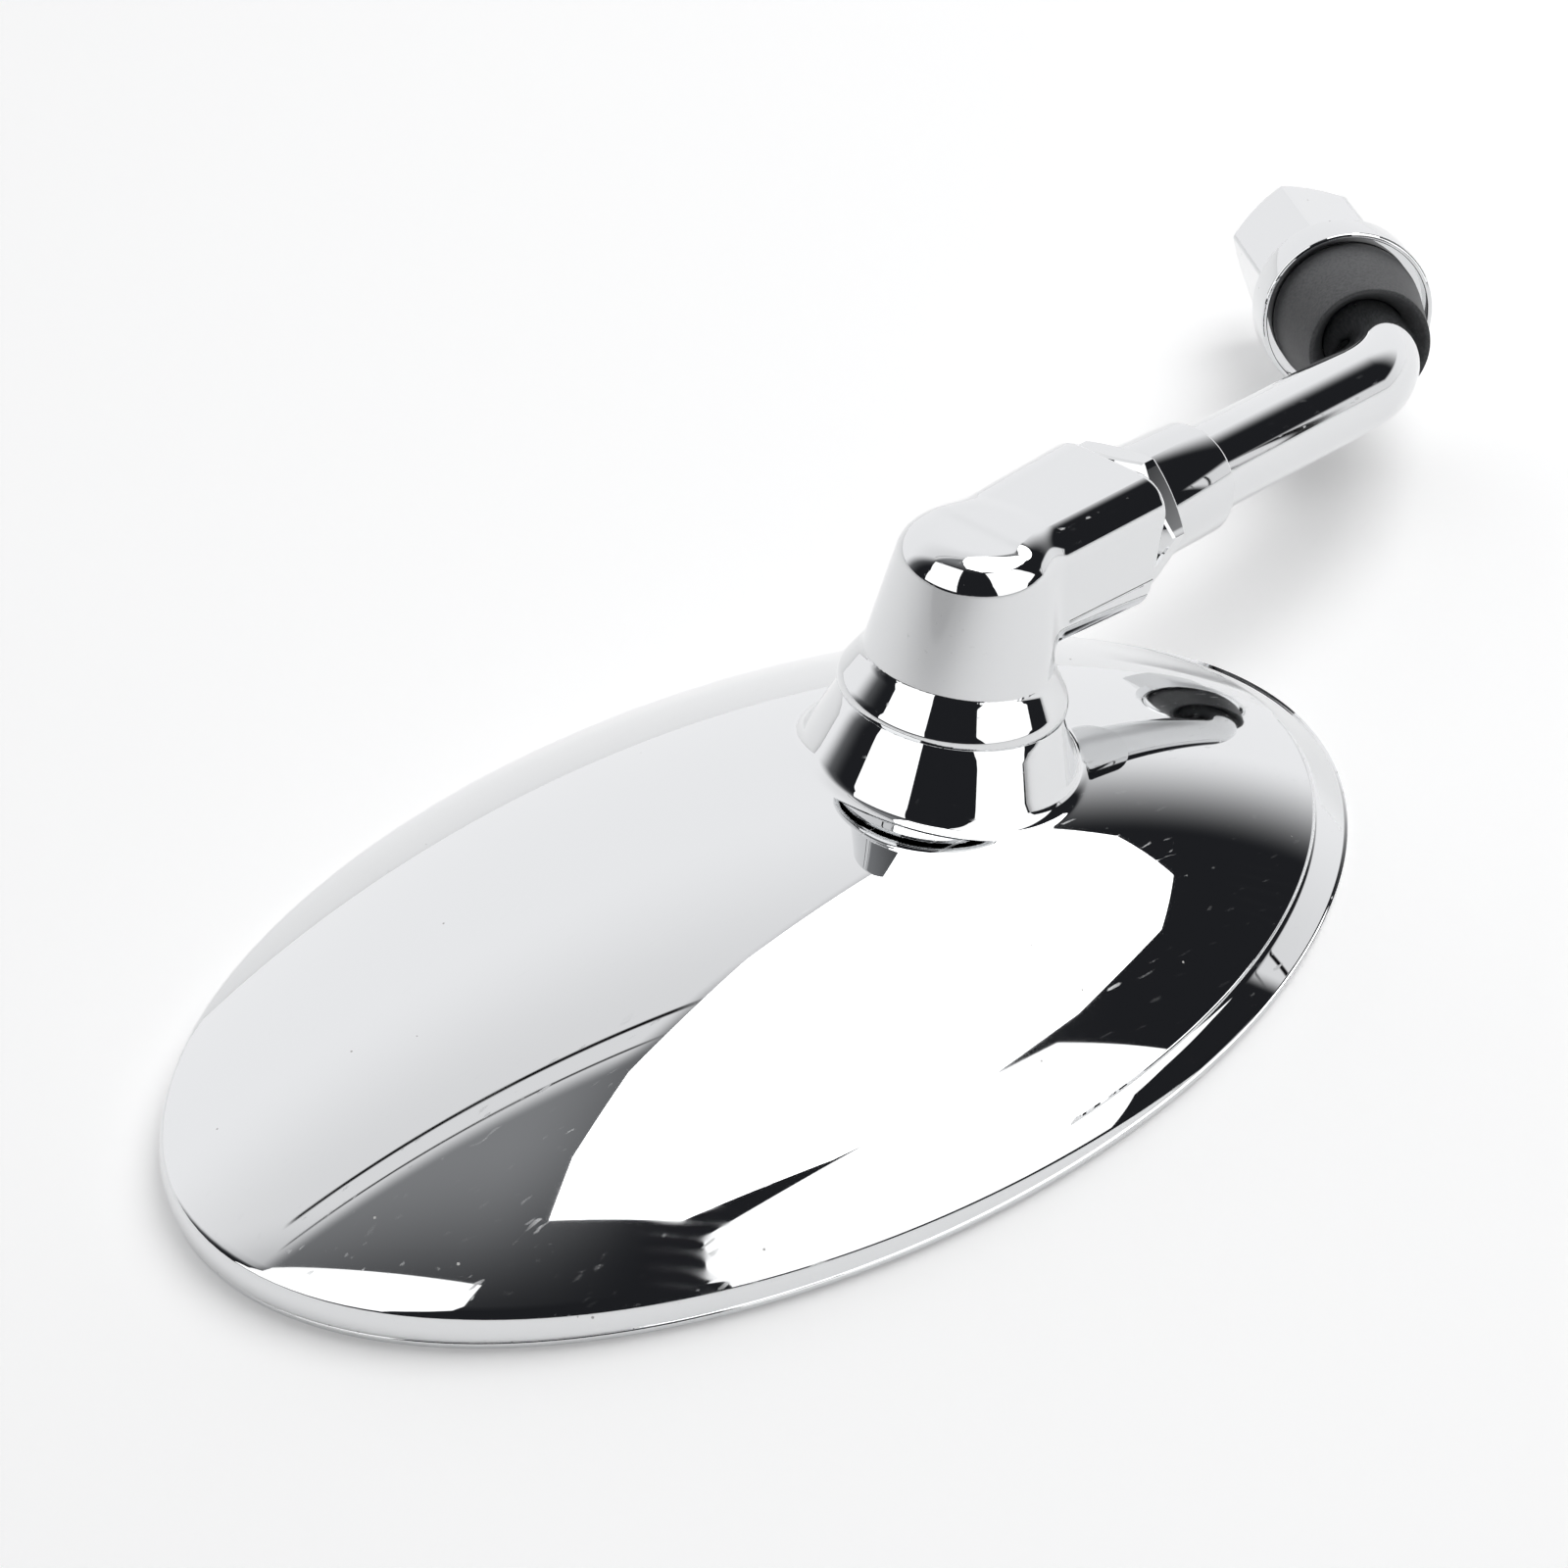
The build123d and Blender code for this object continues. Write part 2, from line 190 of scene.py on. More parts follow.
@dataclass(frozen=True)
class Datum:
    """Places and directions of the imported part, in millimetres from the frame's origin."""

    head: Array
    ball: Array
    boss: Array
    elbow: Array
    arm: Array
    bend: Array
    base: Array

    @classmethod
    def from_record(cls, record: dict[str, Any], rest_reach: float = 73.0) -> "Datum":
        """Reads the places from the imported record.

        Args:
            record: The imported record.
            rest_reach: How far the oval's centre is from the place where the rim rests.

        Returns:
            The part's datum.
        """
        joints = {j["name"]: j for j in record["behaviour"]["joints"]}
        rest = next(m for m in record["mounts"] if m["name"] == "rim_rest")
        place = {n: np.array(j["pos_m"]) / MM for n, j in joints.items()}
        way = {n: unit(np.array(j["axis"])) for n, j in joints.items()}
        head = np.array(rest["pos_m"]) / MM + np.array((rest_reach, 0.0, 0.0))
        return cls(
            head,
            place["ball_turn"],
            way["ball_turn"],
            place["stem_turn"],
            way["stem_turn"],
            place["base_swivel"],
            way["base_swivel"],
        )

    @property
    def arm_axes(self) -> Array:
        """Gives the rows along the arm, across it and along the boss."""
        return np.stack([self.arm, np.cross(self.boss, self.arm), self.boss])

    @property
    def bend_side(self) -> Array:
        """Gives the direction square to the plane of the stem's bend."""
        return unit(np.cross(self.arm, self.base))


class Mesher:
    """Writes meshes from arrays of points."""

    @staticmethod
    def write(
        name: str,
        points: Array,
        faces: Array | list,
        normals: Array | None = None,
        sharp_deg: float | None = None,
        smooth: bool = True,
    ) -> bpy.types.Object:
        """Makes an object.

        Args:
            name: Name of the object.
            points: Corner points in millimetres.
            faces: Corner numbers of each face.
            normals: Exact normal at each point, where known.
            sharp_deg: Angle from which an edge stays sharp.
            smooth: Whether its faces are shaded as one surface.

        Returns:
            The object, linked to the scene.
        """
        mesh = bpy.data.meshes.new(name)
        mesh.from_pydata((points * MM).tolist(), [], faces.tolist() if isinstance(faces, Array) else faces)
        mesh.polygons.foreach_set("use_smooth", [smooth] * len(mesh.polygons))
        mesh.update()
        if normals is not None:
            mesh.normals_split_custom_set_from_vertices(normals.tolist())
        if sharp_deg is not None:
            mesh.set_sharp_from_angle(angle=math.radians(sharp_deg))
        obj = bpy.data.objects.new(name, mesh)
        bpy.context.scene.collection.objects.link(obj)
        return obj

    @staticmethod
    def rings(rows: Array, cap: bool = False) -> tuple[Array, list]:
        """Joins closed rings of points into a skin.

        Args:
            rows: Points as ring, place on the ring, axis.
            cap: Whether the first and last rings are filled.

        Returns:
            The points and the faces.
        """
        count, places = rows.shape[:2]
        index = np.arange(count * places).reshape(count, places)
        after = np.roll(index, -1, axis=1)
        quads = np.stack([index[:-1], after[:-1], after[1:], index[1:]], axis=-1).reshape(-1, 4)
        faces = quads.tolist()
        if cap:
            faces += [index[0][::-1].tolist(), index[-1].tolist()]
        return rows.reshape(-1, 3), faces

    @staticmethod
    def joined(skins: list[tuple[Array, list]]) -> tuple[Array, list]:
        """Puts several skins into one.

        Args:
            skins: Points and faces of each skin.

        Returns:
            The points and faces of all of them.
        """
        faces, count = [], 0
        for points, own in skins:
            faces += [[i + count for i in face] for face in own]
            count += len(points)
        return np.concatenate([points for points, _ in skins]), faces

    @staticmethod
    def turned(origin: Array, axis: Array, side: Array, profile: Array, around: int = 128) -> Array:
        """Turns a profile about an axis.

        Args:
            origin: Point on the axis.
            axis: Direction of the axis.
            side: Direction across the axis where the rings start.
            profile: Rows of radius and height along the axis.
            around: Points on each ring.

        Returns:
            Rings of points.
        """
        spoke = spokes(full_turn(around), side, axis)
        return origin + profile[:, 0, None, None] * spoke[None] + profile[:, 1, None, None] * axis

    @staticmethod
    def rounded(corners: list[tuple[float, float, float]], steps: int = 6) -> Array:
        """Rounds the corners of an open profile.

        Args:
            corners: Radius, height and how far along its sides each corner is rounded.
            steps: Points on each rounded corner.

        Returns:
            Rows of radius and height.
        """
        pts = np.array([c[:2] for c in corners])
        rows = [pts[0]]
        for i in range(1, len(pts) - 1):
            reach = corners[i][2]
            back = pts[i] + unit(pts[i - 1] - pts[i]) * reach
            ahead = pts[i] + unit(pts[i + 1] - pts[i]) * reach
            for t in np.linspace(0, 1, steps) if reach else (0.5,):
                rows.append(rounding(back, pts[i], ahead, t))
        rows.append(pts[-1])
        return np.array(rows)

    @staticmethod
    def sampled(field_at: DistanceField, low: Array, high: Array, pitch: float) -> tuple[list[Array], Array]:
        """Works out a distance field on a grid, point by point only near its zero level.

        Args:
            field_at: Signed distance at points, in millimetres.
            low: Lowest corner of the grid.
            high: Highest corner of the grid.
            pitch: Grid spacing.

        Returns:
            The grid's places along each axis, and the distances.
        """
        block, reach = 4, 1.3
        tally = [math.ceil((b - a) / pitch / block) for a, b in zip(low, high)]
        axes = [a + pitch * np.arange(t * block) for a, t in zip(low, tally)]
        middles = [a + pitch * (block * np.arange(t) + (block - 1) / 2) for a, t in zip(low, tally)]
        coarse = np.stack(np.meshgrid(*middles, indexing="ij"), axis=-1)
        value = field_at(coarse.reshape(-1, 3)).reshape(coarse.shape[:3])
        for a in range(3):
            value = np.repeat(value, block, axis=a)
        close = np.abs(value) < reach * block * pitch
        grid = np.stack(np.meshgrid(*axes, indexing="ij"), axis=-1)
        value[close] = field_at(grid[close])
        return axes, value

    @staticmethod
    def implicit(
        field_at: DistanceField,
        low: Array,
        high: Array,
        pitch: float,
    ) -> tuple[Array, Array, Array]:
        """Skins the zero level of a distance field with quads, then moves each point onto it.

        Args:
            field_at: Signed distance at points, in millimetres.
            low: Lowest corner of the box that is searched.
            high: Highest corner of that box.
            pitch: Grid spacing.

        Returns:
            The points, the faces and the normals.
        """
        settle_rounds, settle_step, normal_step = 4, 0.02, 0.08
        axes, value = Mesher.sampled(field_at, low, high, pitch)
        inside = value < 0
        n = np.array(inside.shape) - 1
        corner = [(i, j, k) for i in (0, 1) for j in (0, 1) for k in (0, 1)]
        part = [inside[i : i + n[0], j : j + n[1], k : k + n[2]] for i, j, k in corner]
        # A cell with corners on both sides of the skin holds one point of it
        mixed = np.any(part, axis=0) & ~np.all(part, axis=0)
        number = np.full(mixed.shape, -1)
        number[mixed] = np.arange(mixed.sum())
        points = np.stack([axes[a][np.nonzero(mixed)[a]] for a in range(3)], axis=-1) + pitch / 2
        quads = []
        for a in range(3):
            b, c = (a + 1) % 3, (a + 2) % 3
            before = np.take(inside, range(n[a]), axis=a)
            at = np.argwhere(before != np.take(inside, range(1, n[a] + 1), axis=a))
            at = at[(at[:, b] > 0) & (at[:, c] > 0) & (at[:, b] < n[b]) & (at[:, c] < n[c])]
            step_b, step_c = np.eye(3, dtype=int)[b], np.eye(3, dtype=int)[c]
            ring = [at - step_b - step_c, at - step_c, at, at - step_b]
            quad = np.stack([number[tuple(r.T)] for r in ring], axis=-1)
            solid = before[tuple(at.T)]
            quad[~solid] = quad[~solid][:, ::-1]
            quads.append(quad)
        for _ in range(settle_rounds):
            slope = Mesher.slope(field_at, points, settle_step)
            points = points - unit(slope) * np.clip(field_at(points), -pitch, pitch)[:, None]
        return points, np.concatenate(quads), unit(Mesher.slope(field_at, points, normal_step))

    @staticmethod
    def slope(field_at: DistanceField, points: Array, step: float) -> Array:
        """Gives the gradient of a distance field.

        Args:
            field_at: Signed distance at points.
            points: Where the gradient is wanted.
            step: Distance that the field is tried at each side.

        Returns:
            One gradient for each point.
        """
        moves = np.eye(3) * step
        return np.stack([field_at(points + m) - field_at(points - m) for m in moves], axis=-1)


class Wear(Enum):
    """How much handling a plated piece shows."""

    CLEAN = 0.0
    HANDLED = 1.0


@dataclass(frozen=True)
class Finish:
    """Finish whose material is made once and then shared."""

    name: str

    def material(self) -> bpy.types.Material:
        """Gives the material, and makes it when it is first asked for.

        Returns:
            The material.
        """
        known = bpy.data.materials.get(self.name)
        if known is not None:
            return known
        mat = bpy.data.materials.new(self.name)
        mat.use_nodes = True
        tree = mat.node_tree
        place = add_node(tree, "ShaderNodeTexCoord").outputs["Object"]
        self.lay(tree, tree.nodes["Principled BSDF"], place)
        return mat

    def lay(self, tree: bpy.types.NodeTree, shader: bpy.types.Node, place: Socket) -> None:
        """Lays the finish on the shader, which each kind of finish does in its own way.

        Args:
            tree: Tree of the material.
            shader: Its shader.
            place: Places on the object.
        """
        raise NotImplementedError


@dataclass(frozen=True)
class ChromePlate(Finish):
    """Bright chromium plate, polished after plating: a clear, slightly cool mirror with handling marks."""

    tint: str = "#E2E3E4"
    dust_tint: str = "#9A9894"
    roughness: float = 0.015
    haze_roughness: float = 0.05
    hairline_roughness: float = 0.10
    print_roughness: float = 0.05
    dust_roughness: float = 0.8
    dust_cover: float = 0.7
    # Values of the patterns between which haze, hairlines and specks come in
    haze_span: tuple[float, float] = (0.5, 0.8)
    hairline_span: tuple[float, float] = (0.76, 0.82)
    speck_span: tuple[float, float] = (0.02, 0.03)
    # Lean and relative width of each set of hairlines, how they are tilted and how far they are drawn out
    hairline_sets: tuple[tuple[float, float], ...] = ((0.5, 1.0), (2.1, 1.3))
    hairline_tilt: tuple[float, float] = (0.3, 0.2)
    hairline_draw: float = 0.03
    print_core: float = 0.45
    wear: Wear = Wear.HANDLED
    speck_pitch_mm: float = 6.0
    scratch_mm: float = 0.5
    smear_mm: float = 26.0
    print_mm: float = 8.0
    ridge_mm: float = 0.7
    prints: tuple[tuple[float, float, float], ...] = ()

    def hazed(self, tree: bpy.types.NodeTree, place: Socket) -> Socket:
        """Starts the roughness with a faint haze in patches.

        Args:
            tree: Tree of the material.
            place: Places on the object.

        Returns:
            The roughness.
        """
        scale = 1 / (self.smear_mm * MM)
        smear = add_node(tree, "ShaderNodeTexNoise", {"Vector": place, "Scale": scale, "Detail": 3.0})
        start, end = self.haze_span
        span = {"Value": smear.outputs["Fac"], "From Min": start, "From Max": end}
        rise = {"To Min": self.roughness, "To Max": self.haze_roughness}
        return add_node(tree, "ShaderNodeMapRange", span | rise).outputs["Result"]

    def scratched(self, tree: bpy.types.NodeTree, place: Socket, rough: Socket) -> Socket:
        """Adds two sets of hairline scratches, wider than real ones, which would be too fine to show.

        Args:
            tree: Tree of the material.
            place: Places on the object.
            rough: Roughness so far.

        Returns:
            The roughness.
        """
        start, end = self.hairline_span
        cut = {"From Min": start, "From Max": end, "To Max": self.hairline_roughness * self.wear.value}
        for lean, width in self.hairline_sets:
            turned = {"Vector": place, "Rotation": (*self.hairline_tilt, lean)}
            drawn = {"Scale": (self.hairline_draw, 1, 1)}
            long = add_node(tree, "ShaderNodeMapping", turned | drawn).outputs["Vector"]
            scale = 1 / (width * self.scratch_mm * MM)
            lines = add_node(tree, "ShaderNodeTexNoise", {"Vector": long, "Scale": scale, "Detail": 0.0})
            cuts = {"Value": lines.outputs["Fac"]} | cut
            hair = add_node(tree, "ShaderNodeMapRange", cuts).outputs["Result"]
            rough = add_node(tree, "ShaderNodeMath", {0: hair, 1: rough}).outputs["Value"]
        return rough

    def touched(self, tree: bpy.types.NodeTree, place: Socket, rough: Socket) -> Socket:
        """Adds the ridges of finger marks, which fade out round their centres.

        Args:
            tree: Tree of the material.
            place: Places on the object.
            rough: Roughness so far.

        Returns:
            The roughness.
        """
        # A wave texture has a ridge and a valley in pi / 10 of its own units
        ridges = {"Scale": math.pi / (20 * self.ridge_mm * MM), "Distortion": 5.0, "Detail Scale": 0.4}
        fade = {
            "From Min": self.print_core * self.print_mm * MM,
            "From Max": self.print_mm * MM,
            "To Min": self.print_roughness,
            "To Max": 0.0,
        }
        for centre in self.prints:
            spot = (np.array(centre) * MM).tolist()
            away = add_node(tree, "ShaderNodeVectorMath", {0: place, 1: spot}, operation="SUBTRACT")
            way = away.outputs["Vector"]
            ring = add_node(tree, "ShaderNodeTexWave", {"Vector": way} | ridges, bands_direction="DIAGONAL")
            far = add_node(tree, "ShaderNodeVectorMath", {0: way}, operation="LENGTH").outputs["Value"]
            faded = {"Value": far} | fade
            patch = add_node(tree, "ShaderNodeMapRange", faded, interpolation_type="SMOOTHSTEP")
            mark = {0: ring.outputs["Fac"], 1: patch.outputs["Result"], 2: rough}
            rough = add_node(tree, "ShaderNodeMath", mark, operation="MULTIPLY_ADD").outputs["Value"]
        return rough

    def lay(self, tree: bpy.types.NodeTree, shader: bpy.types.Node, place: Socket) -> None:
        """Lays haze, hairlines, finger marks and specks of dust on the plate.

        Args:
            tree: Tree of the material.
            shader: Its shader.
            place: Places on the object.
        """
        rough = self.touched(tree, place, self.scratched(tree, place, self.hazed(tree, place)))
        scale = 1 / (self.speck_pitch_mm * MM)
        cells = add_node(tree, "ShaderNodeTexVoronoi", {"Vector": place, "Scale": scale})
        start, end = self.speck_span
        span = {"Value": cells.outputs["Distance"], "From Min": start, "From Max": end}
        fall = {"To Min": self.dust_cover, "To Max": 0.0}
        cover = add_node(tree, "ShaderNodeMapRange", span | fall).outputs["Result"]
        tints = {"Factor": cover, "A": linear(self.tint), "B": linear(self.dust_tint)}
        colour = add_node(tree, "ShaderNodeMix", tints, data_type="RGBA")
        dulled = {0: cover, 1: self.dust_roughness, 2: rough}
        gloss = add_node(tree, "ShaderNodeMath", dulled, operation="MULTIPLY_ADD", use_clamp=True)
        shader.inputs["Metallic"].default_value = 1.0
        tree.links.new(colour.outputs["Result"], shader.inputs["Base Color"])
        tree.links.new(gloss.outputs["Value"], shader.inputs["Roughness"])


@dataclass(frozen=True)
class PlainFinish(Finish):
    """Moulded, ground or pressed finish with a fine grain in colour, gloss and surface."""

    light: str
    dark: str
    roughness: float
    grain_mm: float
    metallic: float = 0.0
    bump: float = 0.1
    spread: float = 0.08
    patch_mm: float = 12.0
    relief_mm: float = 0.05
    # Values of the pattern between which the dark tone turns into the light one
    tone_span: tuple[float, float] = (0.12, 0.4)

    def lay(self, tree: bpy.types.NodeTree, shader: bpy.types.Node, place: Socket) -> None:
        """Lays two tones, an uneven gloss and a fine relief on the shader.

        Args:
            tree: Tree of the material.
            shader: Its shader.
            place: Places on the object.
        """
        fine = {"Vector": place, "Scale": 1 / (self.grain_mm * MM), "Detail": 4.0}
        wide = {"Vector": place, "Scale": 1 / (self.patch_mm * MM), "Detail": 2.0}
        grain, patch = (add_node(tree, "ShaderNodeTexNoise", s).outputs["Fac"] for s in (fine, wide))
        both = add_node(tree, "ShaderNodeMath", {0: grain, 1: patch}, operation="MULTIPLY")
        start, end = self.tone_span
        tones = {"Value": both.outputs["Value"], "From Min": start, "From Max": end}
        share = add_node(tree, "ShaderNodeMapRange", tones).outputs["Result"]
        tints = {"Factor": share, "A": linear(self.dark), "B": linear(self.light)}
        colour = add_node(tree, "ShaderNodeMix", tints, data_type="RGBA")
        span = {"To Min": self.roughness - self.spread, "To Max": self.roughness + self.spread}
        rough = add_node(tree, "ShaderNodeMapRange", {"Value": grain} | span)
        height = {"Height": grain, "Strength": self.bump, "Distance": self.relief_mm * MM}
        relief = add_node(tree, "ShaderNodeBump", height)
        shader.inputs["Metallic"].default_value = self.metallic
        tree.links.new(colour.outputs["Result"], shader.inputs["Base Color"])
        tree.links.new(rough.outputs["Result"], shader.inputs["Roughness"])
        tree.links.new(relief.outputs["Normal"], shader.inputs["Normal"])


# Chromium plate on a die-cast shell: the clearest mirror of the object, with the marks of hands
SHELL_CHROME = ChromePlate("chrome_plate_on_die_cast_shell")
# The same plate on the thin ring that holds the glass: a little softer, with fewer marks
BEZEL_CHROME = ChromePlate("chrome_plate_on_rolled_bezel", tint="#DEDFE0", roughness=0.03, wear=Wear.CLEAN)
# Plate on a zinc casting: a mirror with a little more haze, in smaller patches
ELBOW_CHROME = ChromePlate("chrome_plate_on_zinc_casting", tint="#E0E1E2", roughness=0.02, smear_mm=14.0)
# Plate on ground rod: long clean stripes of light and dark
ROD_CHROME = ChromePlate("chrome_plate_on_ground_rod", tint="#E0E1E2", roughness=0.02, smear_mm=14.0)
# Plate on turned steel: flats and rims that are a shade duller than the shell
NUT_CHROME = ChromePlate("chrome_plate_on_turned_steel", tint="#DEDFE0", roughness=0.03, wear=Wear.CLEAN)
# Moulded rubber: matt dark grey, paler where it is dusty
BOOT_RUBBER = PlainFinish("moulded_nitrile_rubber", "#545557", "#2F3032", 0.52, 0.35, bump=0.25)
# Silvered float glass seen from its front: a clear mirror with a faint green cast
SILVERED_GLASS = PlainFinish(
    "silvered_float_glass", "#E1E7E5", "#E0E6E4", 0.012, 6.0, metallic=1.0, bump=0.0, spread=0.008
)
# Closed-cell foam: black and dull, with a pitted skin
FOAM = PlainFinish("closed_cell_foam", "#26272A", "#141517", 0.85, 0.4, bump=0.5)
# Moulded acetal: waxy off-white
ACETAL = PlainFinish("moulded_acetal", "#ECE9DF", "#E0DCCF", 0.38, 0.8)
# Ground steel: bright grey with a fine even sheen
STUD_STEEL = PlainFinish("ground_steel", "#B4B6B9", "#94969A", 0.28, 0.3, metallic=1.0)
# Blued spring steel: dark blue-grey, half bright
SPRING_STEEL = PlainFinish("blued_spring_steel", "#5D6068", "#3C3F46", 0.35, 0.4, metallic=1.0)
# Zinc plate on pressed steel: pale grey and slightly mottled
ZINC_STEEL = PlainFinish("zinc_plated_steel", "#BDBFC0", "#9EA1A3", 0.40, 0.7, metallic=1.0)


@dataclass
class Shell:
    """Oval shell with its band, dome and boss, and the bezel ring under it."""

    datum: Datum
    rim_half_length: float = 76.5
    rim_half_width: float = 46.0
    # Inset and rise of each ring where the rim turns under, from the band to the inside
    rim_rounding: tuple[tuple[float, float], ...] = (
        (0.02, 0.34),
        (0.07, 0.14),
        (0.22, 0.03),
        (0.50, 0.0),
        (2.5, 0.0),
    )
    bezel_height: float = 1.2
    bezel_step: float = 0.25
    bezel_lap: float = 4.3
    # Inset from the step and level of each ring round the upper and lower outer edges of the bezel
    bezel_upper: tuple[tuple[float, float], ...] = (
        (0.7, 0.0),
        (0.28, -0.02),
        (0.08, -0.10),
        (0.0, -0.26),
    )
    bezel_lower: tuple[tuple[float, float], ...] = (
        (0.0, 0.55),
        (0.06, 0.32),
        (0.20, 0.14),
        (0.40, 0.04),
        (0.62, 0.0),
    )
    bezel_face: float = 2.2
    bezel_face_follow: float = 0.4
    # Inset from the glass opening and level of each ring round the inner edge
    bezel_inner: tuple[tuple[float, float], ...] = (
        (-0.7, 0.0),
        (-0.25, 0.05),
        (0.0, 0.25),
        (0.0, 0.8),
    )
    crease_height: float = 4.7
    crease_inset_side: float = 1.8
    crease_inset_end: float = 2.6
    crease_shift: float = -2.2
    crease_round: float = 0.35
    crease_round_share: float = 0.93
    band_bulge: float = 0.28
    dome_height: float = 15.6
    boss_radius: float = 14.2
    boss_shoulder: float = 6.2
    boss_flare: float = 0.435
    boss_mouth: float = 9.5
    neck_hole_radius: float = 5.9
    foot_blend: float = 1.3
    foot_lowest: float = -9.0
    dome_farthest: float = 170.0
    glass_inset: float = 6.4
    around: int = 320
    crown_rings: int = 22
    flank_rings: int = 6
    flank_first: float = 0.15
    foot_rings: int = 18
    dome_rings: int = 92
    band_rings: int = 12
    band_first: float = 0.86
    band_last: float = 0.07
    halvings: int = 44
    prints: tuple[tuple[float, float, float], ...] = (
        (-40.2, -36.1, 5.9),
        (-71.1, 3.9, 6.9),
        (45.2, -31.8, 5.9),
    )
    ball: Array = field(init=False)
    spoke: Array = field(init=False)

    def __post_init__(self) -> None:
        """Works out the ball's place from the oval's centre, and the directions across the boss."""
        boss = self.datum.boss
        self.ball = self.datum.ball - self.datum.head
        side = unit(np.array((1.0, 0.0, 0.0)) - boss[0] * boss)
        self.spoke = spokes(full_turn(self.around), side, boss)

    @property
    def crease_half_length(self) -> float:
        """Gives half the length of the oval along its crease."""
        return self.rim_half_length - self.crease_inset_end

    @property
    def crease_half_width(self) -> float:
        """Gives half the width of the oval along its crease."""
        return self.rim_half_width - self.crease_inset_side

    def last_held(self, test: Callable[[Array], Array], low: Array, high: Array) -> Array:
        """Finds by halving the largest value at which a test still holds.

        Args:
            test: Tells for each value whether the test holds.
            low: Values at which it holds.
            high: Values at which it doesn't.

        Returns:
            The values.
        """
        for _ in range(self.halvings):
            mid = (low + high) / 2
            holds = test(mid)
            low, high = np.where(holds, mid, low), np.where(holds, high, mid)
        return low

    def oval(self, share: float | Array, turn: Array, inset: float | Array = 0.0) -> Array:
        """Gives points of the band, which is fullest at the end away from the stem.

        Args:
            share: 0 at the rim and 1 at the crease.
            turn: Angle round the oval.
            inset: Distance drawn in from the band.

        Returns:
            Points from the centre of the oval.
        """
        bulge = self.band_bulge * 2 * share * (1 - share) * (1 - np.cos(turn)) - inset
        length = self.rim_half_length - self.crease_inset_end * share + bulge
        x = self.crease_shift * share + length * np.cos(turn)
        y = (self.rim_half_width - self.crease_inset_side * share + bulge) * np.sin(turn)
        level = self.bezel_height + (self.crease_height - self.bezel_height) * share
        return np.stack([x, y, level + 0 * x], axis=-1)

    def dome_above(self, reach: Array) -> tuple[Array, Array]:
        """Finds the dome along the boss axis.

        Args:
            reach: Distance from the boss axis in each direction across it.

        Returns:
            The points on the dome, and whether the line meets it.
        """
        ball_r = (self.crease_half_width**2 + self.dome_height**2) / (2 * self.dome_height)
        squeeze = np.array((self.crease_half_width / self.crease_half_length, 1.0, 1.0))
        centre = np.array((self.crease_shift, 0.0, self.crease_height + self.dome_height - ball_r))
        foot = self.ball + self.spoke * reach[..., None]
        start = (foot - centre) * squeeze
        way = self.datum.boss * squeeze
        a = way @ way
        b = start @ way
        c = (start * start).sum(-1) - ball_r**2
        gap = b * b - a * c
        height = (-b + np.sqrt(np.maximum(gap, 0))) / a
        return foot + height[..., None] * self.datum.boss, gap > 0

    def boss_ring(self, radius: float | Array, height: float | Array) -> Array:
        """Gives a ring of points about the boss axis.

        Args:
            radius: Distance from the axis, one for all or one for each point.
            height: Height above the ball's centre, given the same way.

        Returns:
            Points from the centre of the oval.
        """
        out = self.spoke * np.broadcast_to(radius, self.around)[:, None]
        return self.ball + out + np.multiply.outer(np.broadcast_to(height, self.around), self.datum.boss)

    def flank_radius(self, height: Array) -> Array:
        """Gives the radius of the boss's flared flank at heights above the ball's centre."""
        shoulder_radius = math.sqrt(self.boss_radius**2 - self.boss_shoulder**2)
        return shoulder_radius + (self.boss_shoulder - height) * self.boss_flare

    def flank_in_dome(self, height: Array) -> Array:
        """Tells where the boss's flank is under the dome.

        Args:
            height: Heights above the ball's centre.

        Returns:
            Whether each point of the flank is covered.
        """
        point, _ = self.dome_above(self.flank_radius(height))
        return (point - self.ball) @ self.datum.boss > height

    def above_crease(self, reach: Array) -> Array:
        """Tells where the dome is still above the crease.

        Args:
            reach: Distance from the boss axis in each direction across it.

        Returns:
            Whether the dome is met above the crease.
        """
        point, meets = self.dome_above(reach)
        return meets & (point[:, 2] > self.crease_height)

    def boss_rows(self, foot: Array) -> list[Array]:
        """Rings the boss from its mouth to the rounded foot on the dome.

        Args:
            foot: Height at which the flank meets the dome.

        Returns:
            Rings of points.
        """
        rows = [self.boss_ring(self.neck_hole_radius, self.boss_mouth)]
        mouth = math.asin(self.neck_hole_radius / self.boss_radius)
        shoulder = math.acos(self.boss_shoulder / self.boss_radius)
        for angle in np.linspace(mouth, shoulder, self.crown_rings):
            radius, height = self.boss_radius * math.sin(angle), self.boss_radius * math.cos(angle)
            rows.append(self.boss_ring(radius, height))
        for t in np.linspace(self.flank_first, 1, self.flank_rings):
            height = self.boss_shoulder + (foot + self.foot_blend - self.boss_shoulder) * t
            rows.append(self.boss_ring(self.flank_radius(height), height))
        on_flank, corner = rows[-1], self.boss_ring(self.flank_radius(foot), foot)
        on_dome, _ = self.dome_above(self.flank_radius(foot) + self.foot_blend)
        shares = np.linspace(0, 1, self.foot_rings)[1:]
        return rows + [rounding(on_flank, corner, on_dome, t) for t in shares]

